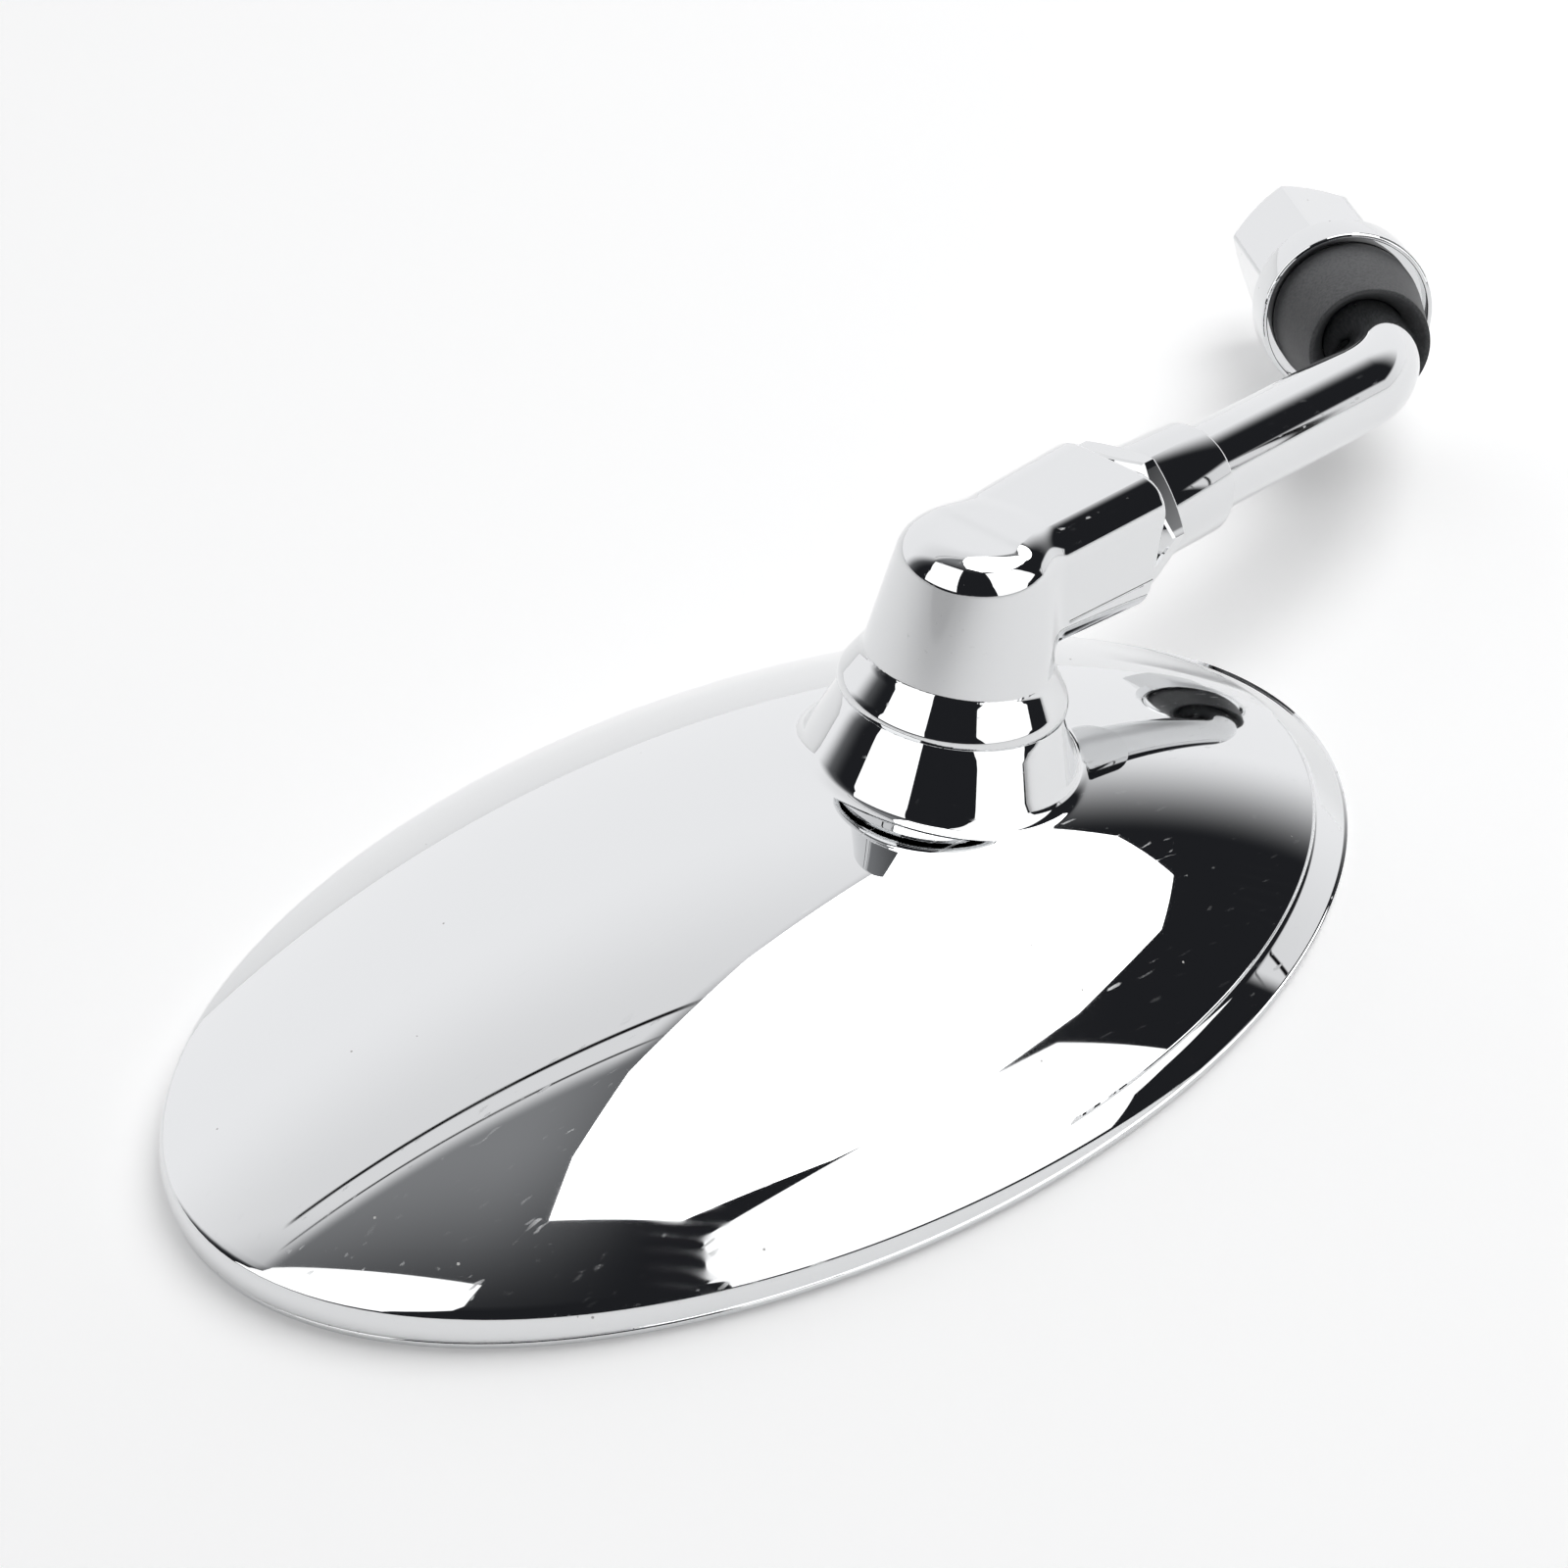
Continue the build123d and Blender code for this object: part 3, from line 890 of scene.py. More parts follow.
    def band_rows(self, reach: Array) -> list[Array]:
        """Rings the shell from just inside the crease down the band and under the rim.

        Args:
            reach: Distance of the crease from the boss axis in each direction.

        Returns:
            Rings of points.
        """
        edge, _ = self.dome_above(reach)
        before, _ = self.dome_above(reach - self.crease_round)
        across = (edge[:, 0] - self.crease_shift) / self.crease_half_length
        turn = np.arctan2(edge[:, 1] / self.crease_half_width, across)
        after = self.oval(self.crease_round_share, turn)
        rows = [before]
        rows += [rounding(before, edge, after, t) for t in (0.25, 0.5, 0.75, 1.0)]
        shares = np.linspace(self.band_first, self.band_last, self.band_rings)
        rows += [self.oval(share, turn) for share in shares]
        rows += [self.oval(0.0, turn, inset) + rise * UP for inset, rise in self.rim_rounding]
        return rows

    def build_shell(self) -> bpy.types.Object:
        """Skins the outside of the shell in rings about the boss.

        Returns:
            The shell.
        """
        every = np.ones(self.around)
        foot = self.last_held(self.flank_in_dome, every * self.foot_lowest, every * self.boss_shoulder)
        start = self.flank_radius(foot) + self.foot_blend
        crease = self.last_held(self.above_crease, start, every * self.dome_farthest)
        rows = self.boss_rows(foot)
        shares = np.linspace(0, 1, self.dome_rings)[1:-1]
        rows += [self.dome_above(start + (crease - start) * t)[0] for t in shares]
        rows += self.band_rows(crease)
        points, faces = Mesher.rings(np.array(rows)[:, ::-1])
        shell = Mesher.write("shell_skin", points + self.datum.head, faces)
        prints = tuple(tuple(self.datum.head + np.array(p)) for p in self.prints)
        finish = replace(SHELL_CHROME, prints=prints)
        return dress(shell, finish.material(), "head", "housing")

    def build_bezel(self) -> bpy.types.Object:
        """Skins the bezel ring with rounded edges.

        Returns:
            The bezel.
        """
        turn = full_turn(self.around)
        step, top, glass = self.bezel_step, self.bezel_height, self.glass_inset
        glass_shift = self.crease_shift / 2
        # Rows are the inset from the rim, the height, and how far the row follows the glass to one side
        section = [(self.bezel_lap, top, 1.0)]
        section += [(step + inset, top + level, 0.0) for inset, level in self.bezel_upper]
        section += [(step + inset, level, 0.0) for inset, level in self.bezel_lower]
        section += [(self.bezel_face, 0.0, self.bezel_face_follow)]
        section += [(glass + inset, level, 1.0) for inset, level in self.bezel_inner]
        rows = []
        for inset, level, follow in section:
            x = glass_shift * follow + (self.rim_half_length - inset) * np.cos(turn)
            y = (self.rim_half_width - inset) * np.sin(turn)
            rows.append(np.stack([x, y, level + 0 * x], axis=-1))
        points, faces = Mesher.rings(np.array(rows)[:, ::-1])
        bezel = Mesher.write("bezel_ring", points + self.datum.head, faces)
        return dress(bezel, BEZEL_CHROME.material(), "head", "rim_bezel")


@dataclass
class Elbow:
    """Cast elbow: a skirt and cone over the boss, and a square arm, blended into each other."""

    datum: Datum
    lip_level: float = 7.4
    lip_radius: float = 13.05
    lip_height: float = 1.1
    lip_round: float = 0.35
    skirt_top_radius: float = 10.8
    skirt_height: float = 4.8
    skirt_round: float = 0.25
    cone_top_radius: float = 8.3
    cone_foot: float = -2.0
    crown_round: float = 4.2
    arm_level: float = 12.7
    arm_root: float = 15.4
    arm_end: float = 16.9
    arm_round: float = 4.2
    arm_length: float = 25.6
    arm_edge_round: float = 1.2
    cover_radius: float = 14.6
    blend: float = 1.5
    pitch: float = 0.25
    box_low: tuple[float, float, float] = (-14.5, -14.5, 6.5)
    box_high: tuple[float, float, float] = (27.0, 14.5, 29.5)
    seam_drop: float = 3.4
    seam_start: float = 9.0
    seam_margin: float = 0.9
    seam_height: float = 0.10
    seam_half_width: float = 0.16
    seam_stations: int = 24
    seam_sides: int = 8

    @staticmethod
    def join(first: Array, second: Array, reach: float) -> Array:
        """Takes the smaller of two distances with a smooth change between them.

        Args:
            first: One distance.
            second: The other distance.
            reach: How far the change spreads.

        Returns:
            The joined distance.
        """
        near = np.clip(reach - np.abs(first - second), 0, None) / reach
        return np.minimum(first, second) - near * near * reach / 4

    @staticmethod
    def both(first: Array, second: Array, edge: float) -> Array:
        """Gives the distance from what two shapes share, with a round edge between them.

        Args:
            first: Distance from one shape drawn in by the edge's radius.
            second: Distance from the other shape drawn in by the same.
            edge: Radius of the edge.

        Returns:
            Distances, negative inside.
        """
        out = np.hypot(np.maximum(first, 0), np.maximum(second, 0))
        return out + np.minimum(np.maximum(first, second), 0) - edge

    def arm_width(self, share: Array) -> Array:
        """Gives the width of the arm at shares of its length."""
        return self.arm_root + (self.arm_end - self.arm_root) * share

    def cone_at(self, radius: Array, height: Array) -> Array:
        """Gives the distance from the cone with its rounded crown.

        Args:
            radius: Distances from the boss axis.
            height: Heights above the lip.

        Returns:
            Distances, negative inside.
        """
        top, low, turn = self.arm_level + self.arm_root / 2, self.cone_foot, self.crown_round
        lean = (self.skirt_top_radius - self.cone_top_radius) / (top - self.skirt_height)
        draw = turn * math.hypot(1, lean)
        half = (top - low) / 2 - turn
        big = self.cone_top_radius + lean * (top - low - turn) - draw
        small = self.cone_top_radius + lean * turn - draw
        y = height - (top + low) / 2
        run_r, run_h = small - big, 2 * half
        end_r = radius - np.minimum(radius, np.where(y < 0, big, small))
        end_h = np.abs(y) - half
        along = ((small - radius) * run_r + (half - y) * run_h) / (run_r**2 + run_h**2)
        along = np.clip(along, 0, 1)
        side_r, side_h = radius - small + run_r * along, y - half + run_h * along
        sign = np.where((side_r < 0) & (end_h < 0), -1.0, 1.0)
        return sign * np.sqrt(np.minimum(end_r**2 + end_h**2, side_r**2 + side_h**2)) - turn

    def field_at(self, points: Array) -> Array:
        """Gives the signed distance from the elbow's skin.

        Args:
            points: Points with the ball at zero, X along the arm and Z along the boss.

        Returns:
            Distances, negative inside.
        """
        radius = np.hypot(points[:, 0], points[:, 1])
        height = points[:, 2] - self.lip_level
        rise, run = self.skirt_height - self.lip_height, self.lip_radius - self.skirt_top_radius
        flank = (radius - self.lip_radius) * rise + (height - self.lip_height) * run
        skirt = -self.join(-flank / math.hypot(rise, run), self.lip_radius - radius, self.lip_round)
        skirt = np.maximum(-self.join(-skirt, height, self.skirt_round), height - self.skirt_height)
        body = self.join(self.cone_at(radius, height), skirt, self.skirt_round)
        half = self.arm_width(np.clip(points[:, 0] / self.arm_length, 0, 1)) / 2 - self.arm_round
        bar = self.both(np.abs(points[:, 1]) - half, np.abs(height - self.arm_level) - half, self.arm_round)
        ends = np.abs(points[:, 0] - self.arm_length / 2) - self.arm_length / 2
        arm = self.both(bar + self.arm_edge_round, ends + self.arm_edge_round, self.arm_edge_round)
        joined = self.join(body, arm, self.blend)
        return np.maximum(joined, self.cover_radius - np.linalg.norm(points, axis=-1))

    def build(self) -> bpy.types.Object:
        """Skins the elbow.

        Returns:
            The elbow.
        """
        low, high = np.array(self.box_low), np.array(self.box_high)
        points, faces, normals = Mesher.implicit(self.field_at, low, high, self.pitch)
        axes = self.datum.arm_axes
        elbow = Mesher.write("elbow_casting", points @ axes + self.datum.ball, faces, normals @ axes)
        return dress(elbow, ELBOW_CHROME.material(), "arm", "elbow")

    def build_seam(self) -> bpy.types.Object:
        """Lays the fine parting ridge of the mould along both sides of the arm.

        Returns:
            The ridge.
        """
        turn = full_turn(self.seam_sides)
        section = np.stack(
            [0 * turn, self.seam_height * np.cos(turn), self.seam_half_width * np.sin(turn)], axis=-1
        )
        level = self.lip_level + self.arm_level - self.seam_drop
        stations = np.linspace(self.seam_start, self.arm_length - self.seam_margin, self.seam_stations)
        skins = []
        for way in (-1, 1):
            centres = [(x, way * self.arm_width(x / self.arm_length) / 2, level) for x in stations]
            skins.append(Mesher.rings(np.array([np.array(c) + section for c in centres]), cap=True))
        points, faces = Mesher.joined(skins)
        points = points @ self.datum.arm_axes + self.datum.ball
        seam = Mesher.write("arm_parting_ridge", points, faces, smooth=False)
        return dress(seam, ELBOW_CHROME.material(), "arm")


@dataclass
class Rod:
    """Bent stem with its ferrule and rubber boot."""

    datum: Datum
    stem_radius: float = 5.4
    stem_start: float = 9.6
    stem_reach: float = 88.2
    bend_radius: float = 21.0
    shoulder: float = 23.1
    ferrule_start: float = 29.9
    ferrule_length: float = 12.8
    ferrule_radius: float = 7.0
    ferrule_gap: float = 0.02
    ferrule_first_round: float = 0.8
    ferrule_last_round: float = 0.45
    boot_start: float = 9.3
    boot_small_radius: float = 7.8
    boot_large_radius: float = 9.5
    mouth_depth: float = 3.0
    mouth_gap: float = 0.05
    mouth_lip: float = 0.55
    mouth_drop: float = 0.15
    mouth_round: float = 0.25
    boot_foot: float = 21.0
    foot_run: float = 2.0
    foot_run_round: float = 0.9
    foot_swell: float = 0.15
    foot_rise: float = 0.4
    foot_round: float = 0.4
    boot_end: float = 22.2
    end_round: float = 0.2
    end_gap: float = 0.1
    arm_stations: int = 30
    bend_stations: int = 41
    base_stations: int = 12
    around: int = 96

    def stations(self) -> list[tuple[Array, Array]]:
        """Follows the stem along its line, arc and line.

        Returns:
            Points on its middle, each with the direction there.
        """
        arm, base, bend = self.datum.arm, self.datum.base, self.datum.bend
        angle = math.acos(float(np.clip(arm @ base, -1, 1)))
        trim = self.bend_radius * math.tan(angle / 2)
        side = np.cross(self.datum.bend_side, arm)
        straight = np.linspace(self.stem_start, self.stem_reach - trim, self.arm_stations)
        places = [(self.datum.elbow + arm * t, arm) for t in straight]
        centre = bend - arm * trim + side * self.bend_radius
        for a in np.linspace(0, angle, self.bend_stations)[1:]:
            way = math.cos(a) * arm + math.sin(a) * side
            out = math.sin(a) * arm - math.cos(a) * side
            places.append((centre + out * self.bend_radius, way))
        last = np.linspace(trim, self.shoulder, self.base_stations)[1:]
        return places + [(bend + base * s, base) for s in last]

    def build_stem(self) -> bpy.types.Object:
        """Sweeps a circle along the stem.

        Returns:
            The stem.
        """
        turn = full_turn(self.around)
        rows, normals = [], []
        for point, way in self.stations():
            out = spokes(turn, self.datum.bend_side, -way)
            rows.append(point + out * self.stem_radius)
            normals.append(out)
        points, faces = Mesher.rings(np.array(rows)[:, ::-1])
        stem = Mesher.write("stem_rod", points, faces, np.array(normals)[:, ::-1].reshape(-1, 3))
        return dress(stem, ROD_CHROME.material(), "rod", "stem")

    def build_ferrule(self) -> bpy.types.Object:
        """Turns the ferrule with rounded ends.

        Returns:
            The ferrule.
        """
        start, end = self.ferrule_start, self.ferrule_start + self.ferrule_length
        inner = self.stem_radius + self.ferrule_gap
        profile = Mesher.rounded(
            [
                (inner, start, 0.0),
                (self.ferrule_radius, start, self.ferrule_first_round),
                (self.ferrule_radius, end, self.ferrule_last_round),
                (inner, end, 0.0),
            ]
        )
        rows = Mesher.turned(self.datum.elbow, self.datum.arm, self.datum.boss, profile)
        ferrule = Mesher.write("ferrule_sleeve", *Mesher.rings(rows))
        return dress(ferrule, NUT_CHROME.material(), "rod", "ferrule")

    def build_boot(self) -> bpy.types.Object:
        """Turns the rubber boot with a soft mouth and a moulded foot.

        Returns:
            The boot.
        """
        small, large = self.boot_small_radius, self.boot_large_radius
        start, foot = self.boot_start, self.boot_foot
        profile = Mesher.rounded(
            [
                (self.stem_radius + self.mouth_gap, start + self.mouth_depth, 0.0),
                (small - self.mouth_lip, start + self.mouth_drop, self.mouth_round),
                (small, start, self.mouth_round),
                (large - self.foot_swell, foot - self.foot_run, self.foot_run_round),
                (large, foot - self.foot_rise, self.foot_round),
                (large, self.boot_end, self.end_round),
                (self.stem_radius + self.end_gap, self.boot_end, 0.0),
            ]
        )
        rows = Mesher.turned(self.datum.bend, self.datum.base, self.datum.bend_side, profile)
        boot = Mesher.write("boot_sleeve", *Mesher.rings(rows))
        return dress(boot, BOOT_RUBBER.material(), "rod", "rubber_boot")


@dataclass
class HexOutline:
    """Six-sided outline with slightly rounded corners."""

    across_flats: float
    turn_deg: float
    corner_draw: float = 0.06
    sides: int = 6
    steps: int = 12

    def polar(self) -> tuple[Array, Array]:
        """Goes round the outline, one flat after the other.

        Returns:
            The angle and the radius of each point.
        """
        half = 180 / self.sides
        turn, radius = [], []
        for k in range(self.sides):
            for t in np.linspace(-half, half, self.steps * 2 + 1)[:-1]:
                turn.append(math.radians(self.turn_deg + half + 2 * half * k + t))
                corner = self.corner_draw if abs(t) == half else 0.0
                radius.append(self.across_flats / 2 / math.cos(math.radians(t)) - corner)
        return np.array(turn), np.array(radius)


@dataclass
class Nuts:
    """Lock nut at the end of the arm, and the base nut with its collar and thread."""

    datum: Datum
    across_flats: float = 16.0
    face_draw: float = 0.5
    sharp_deg: float = 15.0
    nut_turn: float = 20.0
    nut_start: float = 25.7
    nut_end: float = 29.9
    nut_cone: float = 0.5
    hole_radius: float = 5.42
    worn_edge: float = 0.4
    base_turn: float = 42.0
    swivel_radius: float = 6.05
    collar_start: float = 21.0
    collar_end: float = 27.5
    collar_radius: float = 11.2
    collar_first_round: float = 0.45
    collar_last_round: float = 0.9
    collar_overlap: float = 0.3
    collar_around: int = 144
    recess_radius: float = 10.5
    recess_depth: float = 1.5
    recess_round: float = 0.15
    base_end: float = 49.5
    base_chamfer: float = 1.2
    base_face_draw: float = 0.3
    thread_radius: float = 4.4
    thread_depth: float = 10.0
    thread_pitch: float = 1.25
    thread_height: float = 0.55
    thread_start: float = 0.35
    thread_mouth: float = 0.3
    thread_tip: float = 0.2
    thread_steps: int = 8

    @staticmethod
    def skin(
        origin: Array,
        axis: Array,
        side: Array,
        turn: Array,
        rows: list[tuple[Array, Array]],
    ) -> tuple[Array, list]:
        """Joins rings about an axis whose radius and height change round the ring.

        Args:
            origin: Point on the axis.
            axis: Direction of the axis.
            side: Direction where the turn is zero.
            turn: Angle of each point.
            rows: Radius and height of each point, for each ring.

        Returns:
            The points and the faces.
        """
        spoke = spokes(turn, side, axis)
        grid = [origin + spoke * r[:, None] + np.multiply.outer(h, axis) for r, h in rows]
        return Mesher.rings(np.array(grid))

    def build_lock_nut(self) -> bpy.types.Object:
        """Skins the lock nut with a cone at both faces.

        Returns:
            The lock nut.
        """
        turn, radius = HexOutline(self.across_flats, self.nut_turn).polar()
        flat = np.ones_like(turn)
        face = self.across_flats / 2 - self.face_draw
        drop = np.maximum(radius - face, 0) * self.nut_cone
        worn = self.worn_edge
        rows = [
            (flat * self.hole_radius, flat * self.nut_start),
            (flat * face, flat * self.nut_start),
            (radius - worn / 2, self.nut_start + drop),
            (radius, self.nut_start + drop + worn),
            (radius, self.nut_end - drop - worn),
            (radius - worn / 2, self.nut_end - drop),
            (flat * face, flat * self.nut_end),
            (flat * self.hole_radius, flat * self.nut_end),
        ]
        points, faces = self.skin(self.datum.elbow, self.datum.arm, self.datum.boss, turn, rows)
        nut = Mesher.write("lock_nut_body", points, faces, sharp_deg=self.sharp_deg)
        return dress(nut, NUT_CHROME.material(), "rod", "lock_nut")

    def build_collar(self) -> tuple[Array, list]:
        """Turns the collar with the recess that the boot sits in.

        Returns:
            The points and the faces.
        """
        recess = self.collar_start + self.recess_depth
        profile = Mesher.rounded(
            [
                (self.swivel_radius, recess, 0.0),
                (self.recess_radius, recess, 0.0),
                (self.recess_radius, self.collar_start, self.recess_round),
                (self.collar_radius, self.collar_start, self.collar_first_round),
                (self.collar_radius, self.collar_end, self.collar_last_round),
                (self.across_flats / 2 - self.face_draw, self.collar_end, 0.0),
            ]
        )
        place, way, side = self.datum.bend, self.datum.base, self.datum.bend_side
        return Mesher.rings(Mesher.turned(place, way, side, profile, self.collar_around))

    def build_hexagon(self) -> tuple[Array, list]:
        """Skins the hexagon and the thread in its end.

        Returns:
            The points and the faces.
        """
        turn, radius = HexOutline(self.across_flats, self.base_turn).polar()
        flat = np.ones_like(turn)
        face = self.across_flats / math.sqrt(3) - self.base_chamfer
        mouth = self.thread_radius + self.thread_height + self.thread_mouth
        rows = [
            (radius, flat * (self.collar_end - self.collar_overlap)),
            (radius, self.base_end - np.maximum(radius - face, 0)),
            (flat * min(face, self.across_flats / 2 - self.base_face_draw), flat * self.base_end),
            (flat * mouth, flat * self.base_end),
        ]
        for depth in np.arange(self.thread_start, self.thread_depth, self.thread_pitch / self.thread_steps):
            wave = np.abs(((depth / self.thread_pitch + turn / (2 * math.pi)) % 1) * 2 - 1)
            rows.append((self.thread_radius + self.thread_height * wave, flat * (self.base_end - depth)))
        rows.append((flat * self.thread_tip, flat * (self.base_end - self.thread_depth)))
        return self.skin(self.datum.bend, self.datum.base, self.datum.bend_side, turn, rows)

    def build_base_nut(self) -> bpy.types.Object:
        """Puts collar and hexagon together.

        Returns:
            The base nut.
        """
        points, faces = Mesher.joined([self.build_collar(), self.build_hexagon()])
        nut = Mesher.write("base_nut_body", points, faces, sharp_deg=self.sharp_deg)
        return dress(nut, NUT_CHROME.material(), "base", "base_nut")


@dataclass
class CarriedNodes:
    """Pieces that keep the shape of the part's solids and get their finish here."""

    nodes: dict[str, bpy.types.Object]
    finishes: dict[str, PlainFinish] = field(
        default_factory=lambda: {
            "mirror_glass": SILVERED_GLASS,
            "foam_pad": FOAM,
            "socket_seat": ACETAL,
            "pressure_cup": ACETAL,
            "swivel_bush": ACETAL,
            "ball_stud": STUD_STEEL,
            "disc_spring": SPRING_STEEL,
            "circlip": SPRING_STEEL,
            "retainer_plate": ZINC_STEEL,
            "plate_screws": ZINC_STEEL,
        }
    )

    def dress(self) -> list[bpy.types.Object]:
        """Gives each node its finish.

        Returns:
            The dressed nodes.
        """
        for name, finish in self.finishes.items():
            self.nodes[name].data.materials.clear()
            self.nodes[name].data.materials.append(finish.material())
        return [self.nodes[name] for name in self.finishes]


class Combine(Enum):
    """How two regions of the room are put together."""

    LARGER = "MAXIMUM"
    PRODUCT = "MULTIPLY"
    DIFFERENCE = "SUBTRACT"


class Region:
    """Part of the room, by the directions in which it is seen from the object."""

    def __or__(self, other: "Region") -> "Area":
        """Joins two regions."""
        return Area(Combine.LARGER, self, other)

    def __and__(self, other: "Region") -> "Area":
        """Keeps what two regions share."""
        return Area(Combine.PRODUCT, self, other)

    def __sub__(self, other: "Region") -> "Area":
        """Takes one region out of another."""
        return Area(Combine.DIFFERENCE, self, other)


@dataclass(frozen=True)
class Area(Region):
    """Region that is put together from two others."""

    how: Combine
    first: Region
    second: Region


@dataclass(frozen=True)
class SoftEdge(Region):
    """Region beyond a soft edge along a plane, which is given by shares of the view's directions."""

    start: float
    end: float
    ahead: float = 0.0
    right: float = 0.0
    over: float = 0.0

    def moved(self, start: float, end: float) -> "SoftEdge":
        """Gives a parallel edge elsewhere."""
        return replace(self, start=start, end=end)


# White sweep beyond the table, with a low light at its right that the shell's band mirrors
SWEEP_FOOT = SoftEdge(-0.13, -0.06, ahead=1.0, right=-0.276, over=-0.388)
SWEEP_NEAR = SoftEdge(-0.02, 0.10, ahead=1.0, right=-1.9, over=-0.23)
SWEEP_FAR = SoftEdge(-0.15, 0.34, ahead=1.0, right=-0.6, over=-0.88)
SWEEP_LEFT = SoftEdge(-0.10, 0.20, ahead=1.0, right=0.3, over=0.15)
LOW_TOP = SoftEdge(-0.21, -0.15, over=-1.0)
LOW_END = SoftEdge(0.0, 0.05, ahead=1.0, right=-0.23)
SWEEP = ((SWEEP_FOOT & (SWEEP_NEAR | SWEEP_FAR)) | (LOW_TOP & LOW_END)) & SWEEP_LEFT
# Part of the sweep that gets brighter toward its top
SWEEP_RISE = SWEEP_FOOT.moved(0.0, 0.6)
# Two thin dark edges of the crossbar that the sweep hangs from
UPPER_RAIL = SWEEP_FOOT.moved(-0.009, -0.003) - SWEEP_FOOT.moved(0.003, 0.009)
LOWER_RAIL = SWEEP_FOOT.moved(-0.076, -0.071) - SWEEP_FOOT.moved(-0.069, -0.064)
RAIL_END = SoftEdge(-0.52, -0.49, right=1.0)
RAILS = (UPPER_RAIL | LOWER_RAIL) & RAIL_END & SWEEP
# Spill of the sweep on the ceiling, which fades toward the camera and to the right
SPILL = SoftEdge(-0.40, 0.10, ahead=1.0, right=0.35) & SoftEdge(-0.25, 0.15, right=-1.0)


@dataclass(frozen=True)
class Panel:
    """Soft panel, by the bearing from straight ahead to the right and the elevation of its corners."""

    name: str
    corners: tuple[tuple[float, float], ...]
    strength: float
    lights: bool


# Large panel overhead, the only one that lights the table
EIGHT_SIDED_PANEL = Panel(
    "eight_sided_panel",
    (
        (-90, 88.5),
        (-175, 80.7),
        (135, 69.6),
        (107.6, 61.2),
        (92.2, 53.0),
        (75.1, 45.1),
        (60.3, 37.5),
        (50.0, 34.5),
        (39.0, 36.0),
        (31.0, 39.5),
        (20.8, 45.2),
        (12.6, 63.4),
        (0, 78.4),
    ),
    3.1,
    True,
)
# Panels at both sides of the camera, which are only mirrored in the plate
RIGHT_PANEL = Panel(
    "right_panel",
    ((134.5, 64.9), (80.6, 46.1), (82, 31), (80, 13), (98, 9), (103, 1.5), (147, 1.5), (148, 30)),
    1.45,
    False,
)
LEFT_PANEL = Panel(
    "left_panel",
    ((-87, 56.5), (-161.6, 72.5), (-156, 40), (-156, 6), (-107, 6), (-105, 35)),
    1.45,
    False,
)


@dataclass
class Room:
    """White sweep beyond the table and dark room on the camera's side, as the plate mirrors them."""

    right: Array
    ahead: Array
    tree: bpy.types.NodeTree
    way: Socket
    sweep_low: str = "#F0F0F1"
    sweep_high: Colour = (1.04, 1.04, 1.05, 1.0)
    rail_tint: str = "#0E0E10"
    ceiling_tint: str = "#222326"
    spill_tint: str = "#8A8B8D"
    drawn: dict[Region, Socket] = field(default_factory=dict)

    def mask(self, region: Area | SoftEdge) -> Socket:
        """Draws the mask of a region, which rises from 0 to 1 across its edges.

        Args:
            region: The region.

        Returns:
            The mask, which is drawn once and then shared.
        """
        if region in self.drawn:
            return self.drawn[region]
        if isinstance(region, Area):
            parts = {0: self.mask(region.first), 1: self.mask(region.second)}
            node = add_node(self.tree, "ShaderNodeMath", parts, operation=region.how.value)
        else:
            plane = region.ahead * self.ahead + region.right * self.right + region.over * UP
            across = {0: self.way, 1: plane.tolist()}
            level = add_node(self.tree, "ShaderNodeVectorMath", across, operation="DOT_PRODUCT")
            span = {"Value": level.outputs["Value"], "From Min": region.start, "From Max": region.end}
            node = add_node(self.tree, "ShaderNodeMapRange", span, interpolation_type="SMOOTHSTEP")
        self.drawn[region] = node.outputs[0]
        return self.drawn[region]

    def layered(self, ground: Colour, *layers: tuple[Socket, Colour | Socket]) -> Socket:
        """Lays colours over a ground, each where its mask is 1.

        Args:
            ground: The lowest colour.
            layers: Mask and colour of each layer, from below.

        Returns:
            The colour that shows.
        """
        shown: Any = ground
        for mask, colour in layers:
            inputs = {"Factor": mask, "A": shown, "B": colour}
            shown = add_node(self.tree, "ShaderNodeMix", inputs, data_type="RGBA").outputs["Result"]
        return shown

    def colour(self, seen: Socket, backdrop: Colour) -> Socket:
        """Puts ceiling, sweep, rails and backdrop together.

        Args:
            seen: Mask of what the camera sees past the table.
            backdrop: Its colour.

        Returns:
            The room's colour in each direction.
        """
        tone = self.layered(linear(self.sweep_low), (self.mask(SWEEP_RISE), self.sweep_high))
        return self.layered(
            linear(self.ceiling_tint),
            (self.mask(SPILL), linear(self.spill_tint)),
            (self.mask(SWEEP), tone),
            (self.mask(RAILS), linear(self.rail_tint)),
            (seen, backdrop),
        )


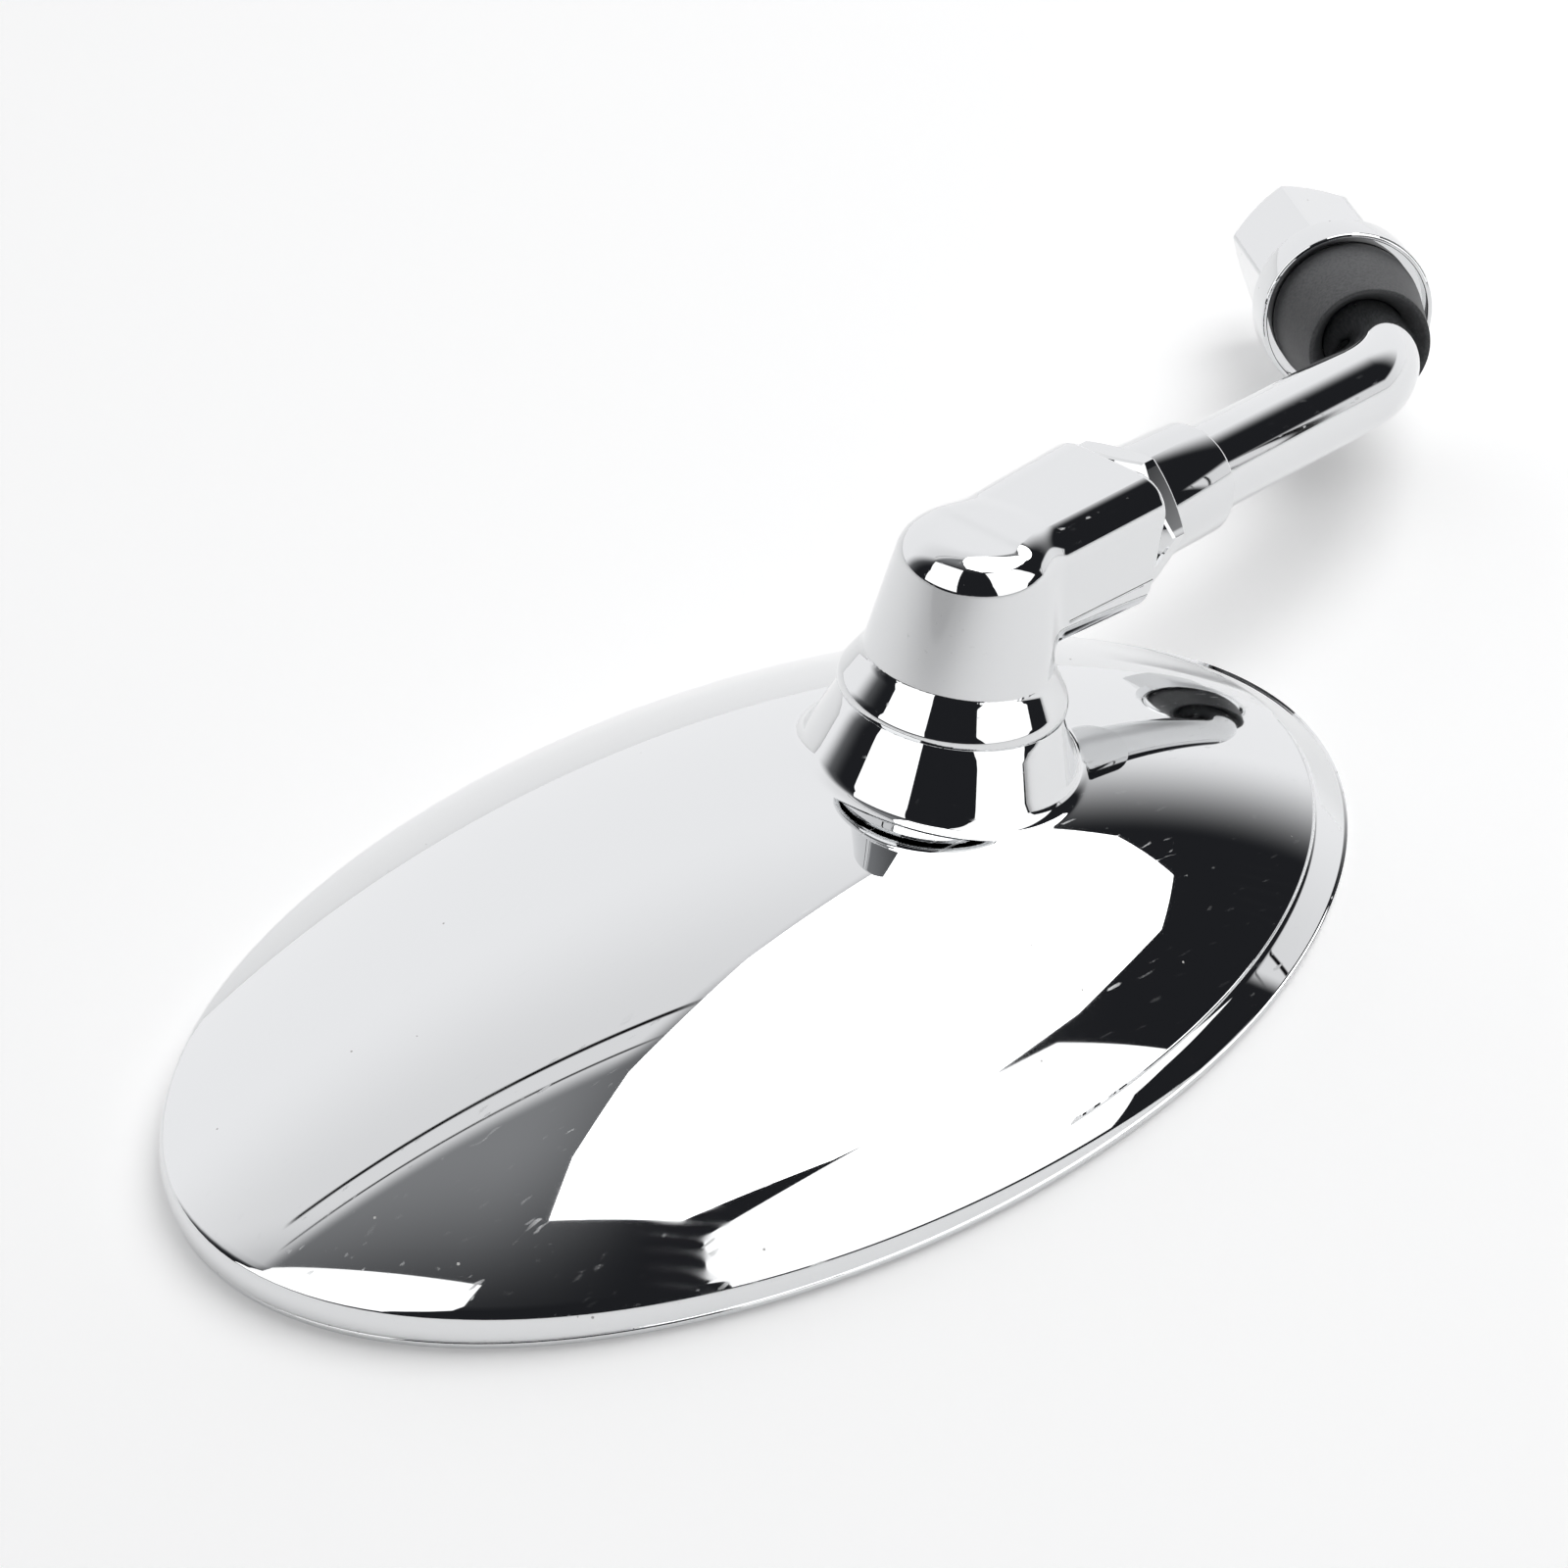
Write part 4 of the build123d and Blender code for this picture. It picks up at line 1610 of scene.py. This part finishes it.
@dataclass
class Studio:
    """Pale table, soft panels round the object, a white sweep beyond and a dark room behind the camera."""

    datum: Datum
    floor_level: float
    elevation_deg: float = 38.0
    azimuth_deg: float = -39.5
    lens_mm: float = 101.25
    sensor_mm: float = 36.0
    clip_start_m: float = 0.01
    distance: float = 492.9
    across: float = 0.4
    above: float = 20.4
    panel_distance: float = 1100.0
    table_reach: float = 6000.0
    table_edge: float = 550.0
    table_gap: float = 0.02
    table_tint: str = "#F7F7F7"
    seen_lift: float = 0.26
    mirrored_lift: float = 0.24
    white: str = "#FFFFFF"

    def axes(self) -> tuple[Array, Array, Array, Array]:
        """Works out the directions of the view.

        Returns:
            The camera's right, forward on the table, up and backward directions.
        """
        a, e = math.radians(self.azimuth_deg), math.radians(self.elevation_deg)
        right = np.array((math.cos(a), math.sin(a), 0.0))
        ahead = np.array((-math.sin(a), math.cos(a), 0.0))
        up = ahead * math.sin(e) + UP * math.cos(e)
        back = -ahead * math.cos(e) + UP * math.sin(e)
        return right, ahead, up, back

    @staticmethod
    def bare_material(name: str) -> tuple[bpy.types.Material, bpy.types.NodeTree, Socket]:
        """Starts a material that has no shader yet.

        Args:
            name: Name of the material.

        Returns:
            The material, its tree and the socket that takes its shader.
        """
        mat = bpy.data.materials.new(name)
        mat.use_nodes = True
        tree = mat.node_tree
        tree.nodes.remove(tree.nodes["Principled BSDF"])
        return mat, tree, tree.nodes["Material Output"].inputs["Surface"]

    def build_camera(self) -> bpy.types.Object:
        """Places the camera at the photograph's angle.

        Returns:
            The camera.
        """
        right, _, up, back = self.axes()
        lens = bpy.data.cameras.new("studio_camera")
        lens.lens = self.lens_mm
        lens.sensor_width = self.sensor_mm
        lens.clip_start = self.clip_start_m
        camera = bpy.data.objects.new("studio_camera", lens)
        bpy.context.scene.collection.objects.link(camera)
        place = self.datum.head + self.across * right + self.above * up + self.distance * back
        turn = Matrix(np.stack([right, up, back], axis=1)).to_4x4()
        camera.matrix_world = Matrix.Translation(Vector(place * MM)) @ turn
        bpy.context.scene.camera = camera
        return camera

    def build_floor(self) -> bpy.types.Object:
        """Lays the table, which is white to the camera and in the plate and still takes the shadow.

        Returns:
            The floor.
        """
        right, ahead, _, _ = self.axes()
        start = self.datum.head * (1, 1, 0) + (self.floor_level - self.table_gap) * UP
        reach, edge = self.table_reach, self.table_edge
        spots = ((-reach, -reach), (reach, -reach), (reach, edge), (-reach, edge))
        points = np.array([start + side * right + depth * ahead for side, depth in spots])
        floor = Mesher.write("table_top", points, [(0, 1, 2, 3)], smooth=False)
        mat, tree, surface = self.bare_material("painted_table_top")
        path = add_node(tree, "ShaderNodeLightPath").outputs
        kinds = {0: path["Is Glossy Ray"], 1: path["Is Transmission Ray"]}
        mirrored = add_node(tree, "ShaderNodeMath", kinds, operation="MAXIMUM").outputs["Value"]
        direct = {0: path["Is Camera Ray"], 1: self.seen_lift}
        seen = add_node(tree, "ShaderNodeMath", direct, operation="MULTIPLY").outputs["Value"]
        sums = {0: mirrored, 1: self.mirrored_lift, 2: seen}
        lift = add_node(tree, "ShaderNodeMath", sums, operation="MULTIPLY_ADD").outputs["Value"]
        matt = add_node(tree, "ShaderNodeBsdfDiffuse", {"Color": linear(self.table_tint)})
        glow = add_node(tree, "ShaderNodeEmission", {"Color": linear(self.white), "Strength": lift})
        both = add_node(tree, "ShaderNodeAddShader", {0: matt.outputs["BSDF"], 1: glow.outputs["Emission"]})
        tree.links.new(both.outputs["Shader"], surface)
        floor.data.materials.append(mat)
        floor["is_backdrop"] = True
        return floor

    def build_panel(self, panel: Panel) -> bpy.types.Object:
        """Hangs a soft panel round the object.

        Args:
            panel: The panel.

        Returns:
            The panel's object.
        """
        right, ahead, _, _ = self.axes()
        points = []
        for bearing, rise in panel.corners:
            b, r = math.radians(bearing), math.radians(rise)
            way = math.cos(r) * (math.cos(b) * ahead + math.sin(b) * right) + math.sin(r) * UP
            points.append(self.datum.head + self.panel_distance * way)
        face = [tuple(range(len(points)))]
        cloth = Mesher.write(panel.name, np.array(points), face, smooth=False)
        mat, tree, surface = self.bare_material(panel.name + "_cloth")
        light = {"Color": linear(self.white), "Strength": panel.strength}
        tree.links.new(add_node(tree, "ShaderNodeEmission", light).outputs["Emission"], surface)
        cloth.data.materials.append(mat)
        cloth.visible_camera = False
        cloth.visible_diffuse = panel.lights
        cloth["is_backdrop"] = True
        return cloth

    def build_world(self) -> bpy.types.World:
        """Puts the room round the object, with plain white where the camera looks past the table.

        Returns:
            The world.
        """
        right, ahead, _, _ = self.axes()
        world = bpy.data.worlds.new("studio_room")
        bpy.context.scene.world = world
        world.use_nodes = True
        tree = world.node_tree
        room = Room(right, ahead, tree, add_node(tree, "ShaderNodeTexCoord").outputs["Generated"])
        seen = add_node(tree, "ShaderNodeLightPath").outputs["Is Camera Ray"]
        background = tree.nodes["Background"]
        tree.links.new(room.colour(seen, linear(self.white)), background.inputs["Color"])
        background.inputs["Strength"].default_value = 1.0
        return world

    def build(self) -> None:
        """Sets up the view, the table, the room and the panels."""
        bpy.context.scene.view_settings.view_transform = "Standard"
        self.build_camera()
        self.build_floor()
        self.build_world()
        for panel in (EIGHT_SIDED_PANEL, RIGHT_PANEL, LEFT_PANEL):
            self.build_panel(panel)


def main() -> None:
    """Builds the object and the studio, and logs the face count of each piece."""
    logging.basicConfig(level=logging.INFO, format="%(name)s: %(message)s")
    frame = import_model()
    cad_low, cad_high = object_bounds()
    datum = Datum.from_record(frame["record"])
    shell = Shell(datum)
    elbow = Elbow(datum)
    rod = Rod(datum)
    nuts = Nuts(datum)
    pieces = [
        shell.build_shell(),
        shell.build_bezel(),
        elbow.build(),
        elbow.build_seam(),
        rod.build_stem(),
        rod.build_ferrule(),
        rod.build_boot(),
        nuts.build_lock_nut(),
        nuts.build_base_nut(),
    ]
    pieces += CarriedNodes(frame["nodes"]).dress()
    for piece in pieces:
        LOG.info("%s: %d faces", piece.name, len(piece.data.polygons))
    Studio(datum, cad_low.z / MM).build()


if __name__ == "__main__":
    main()
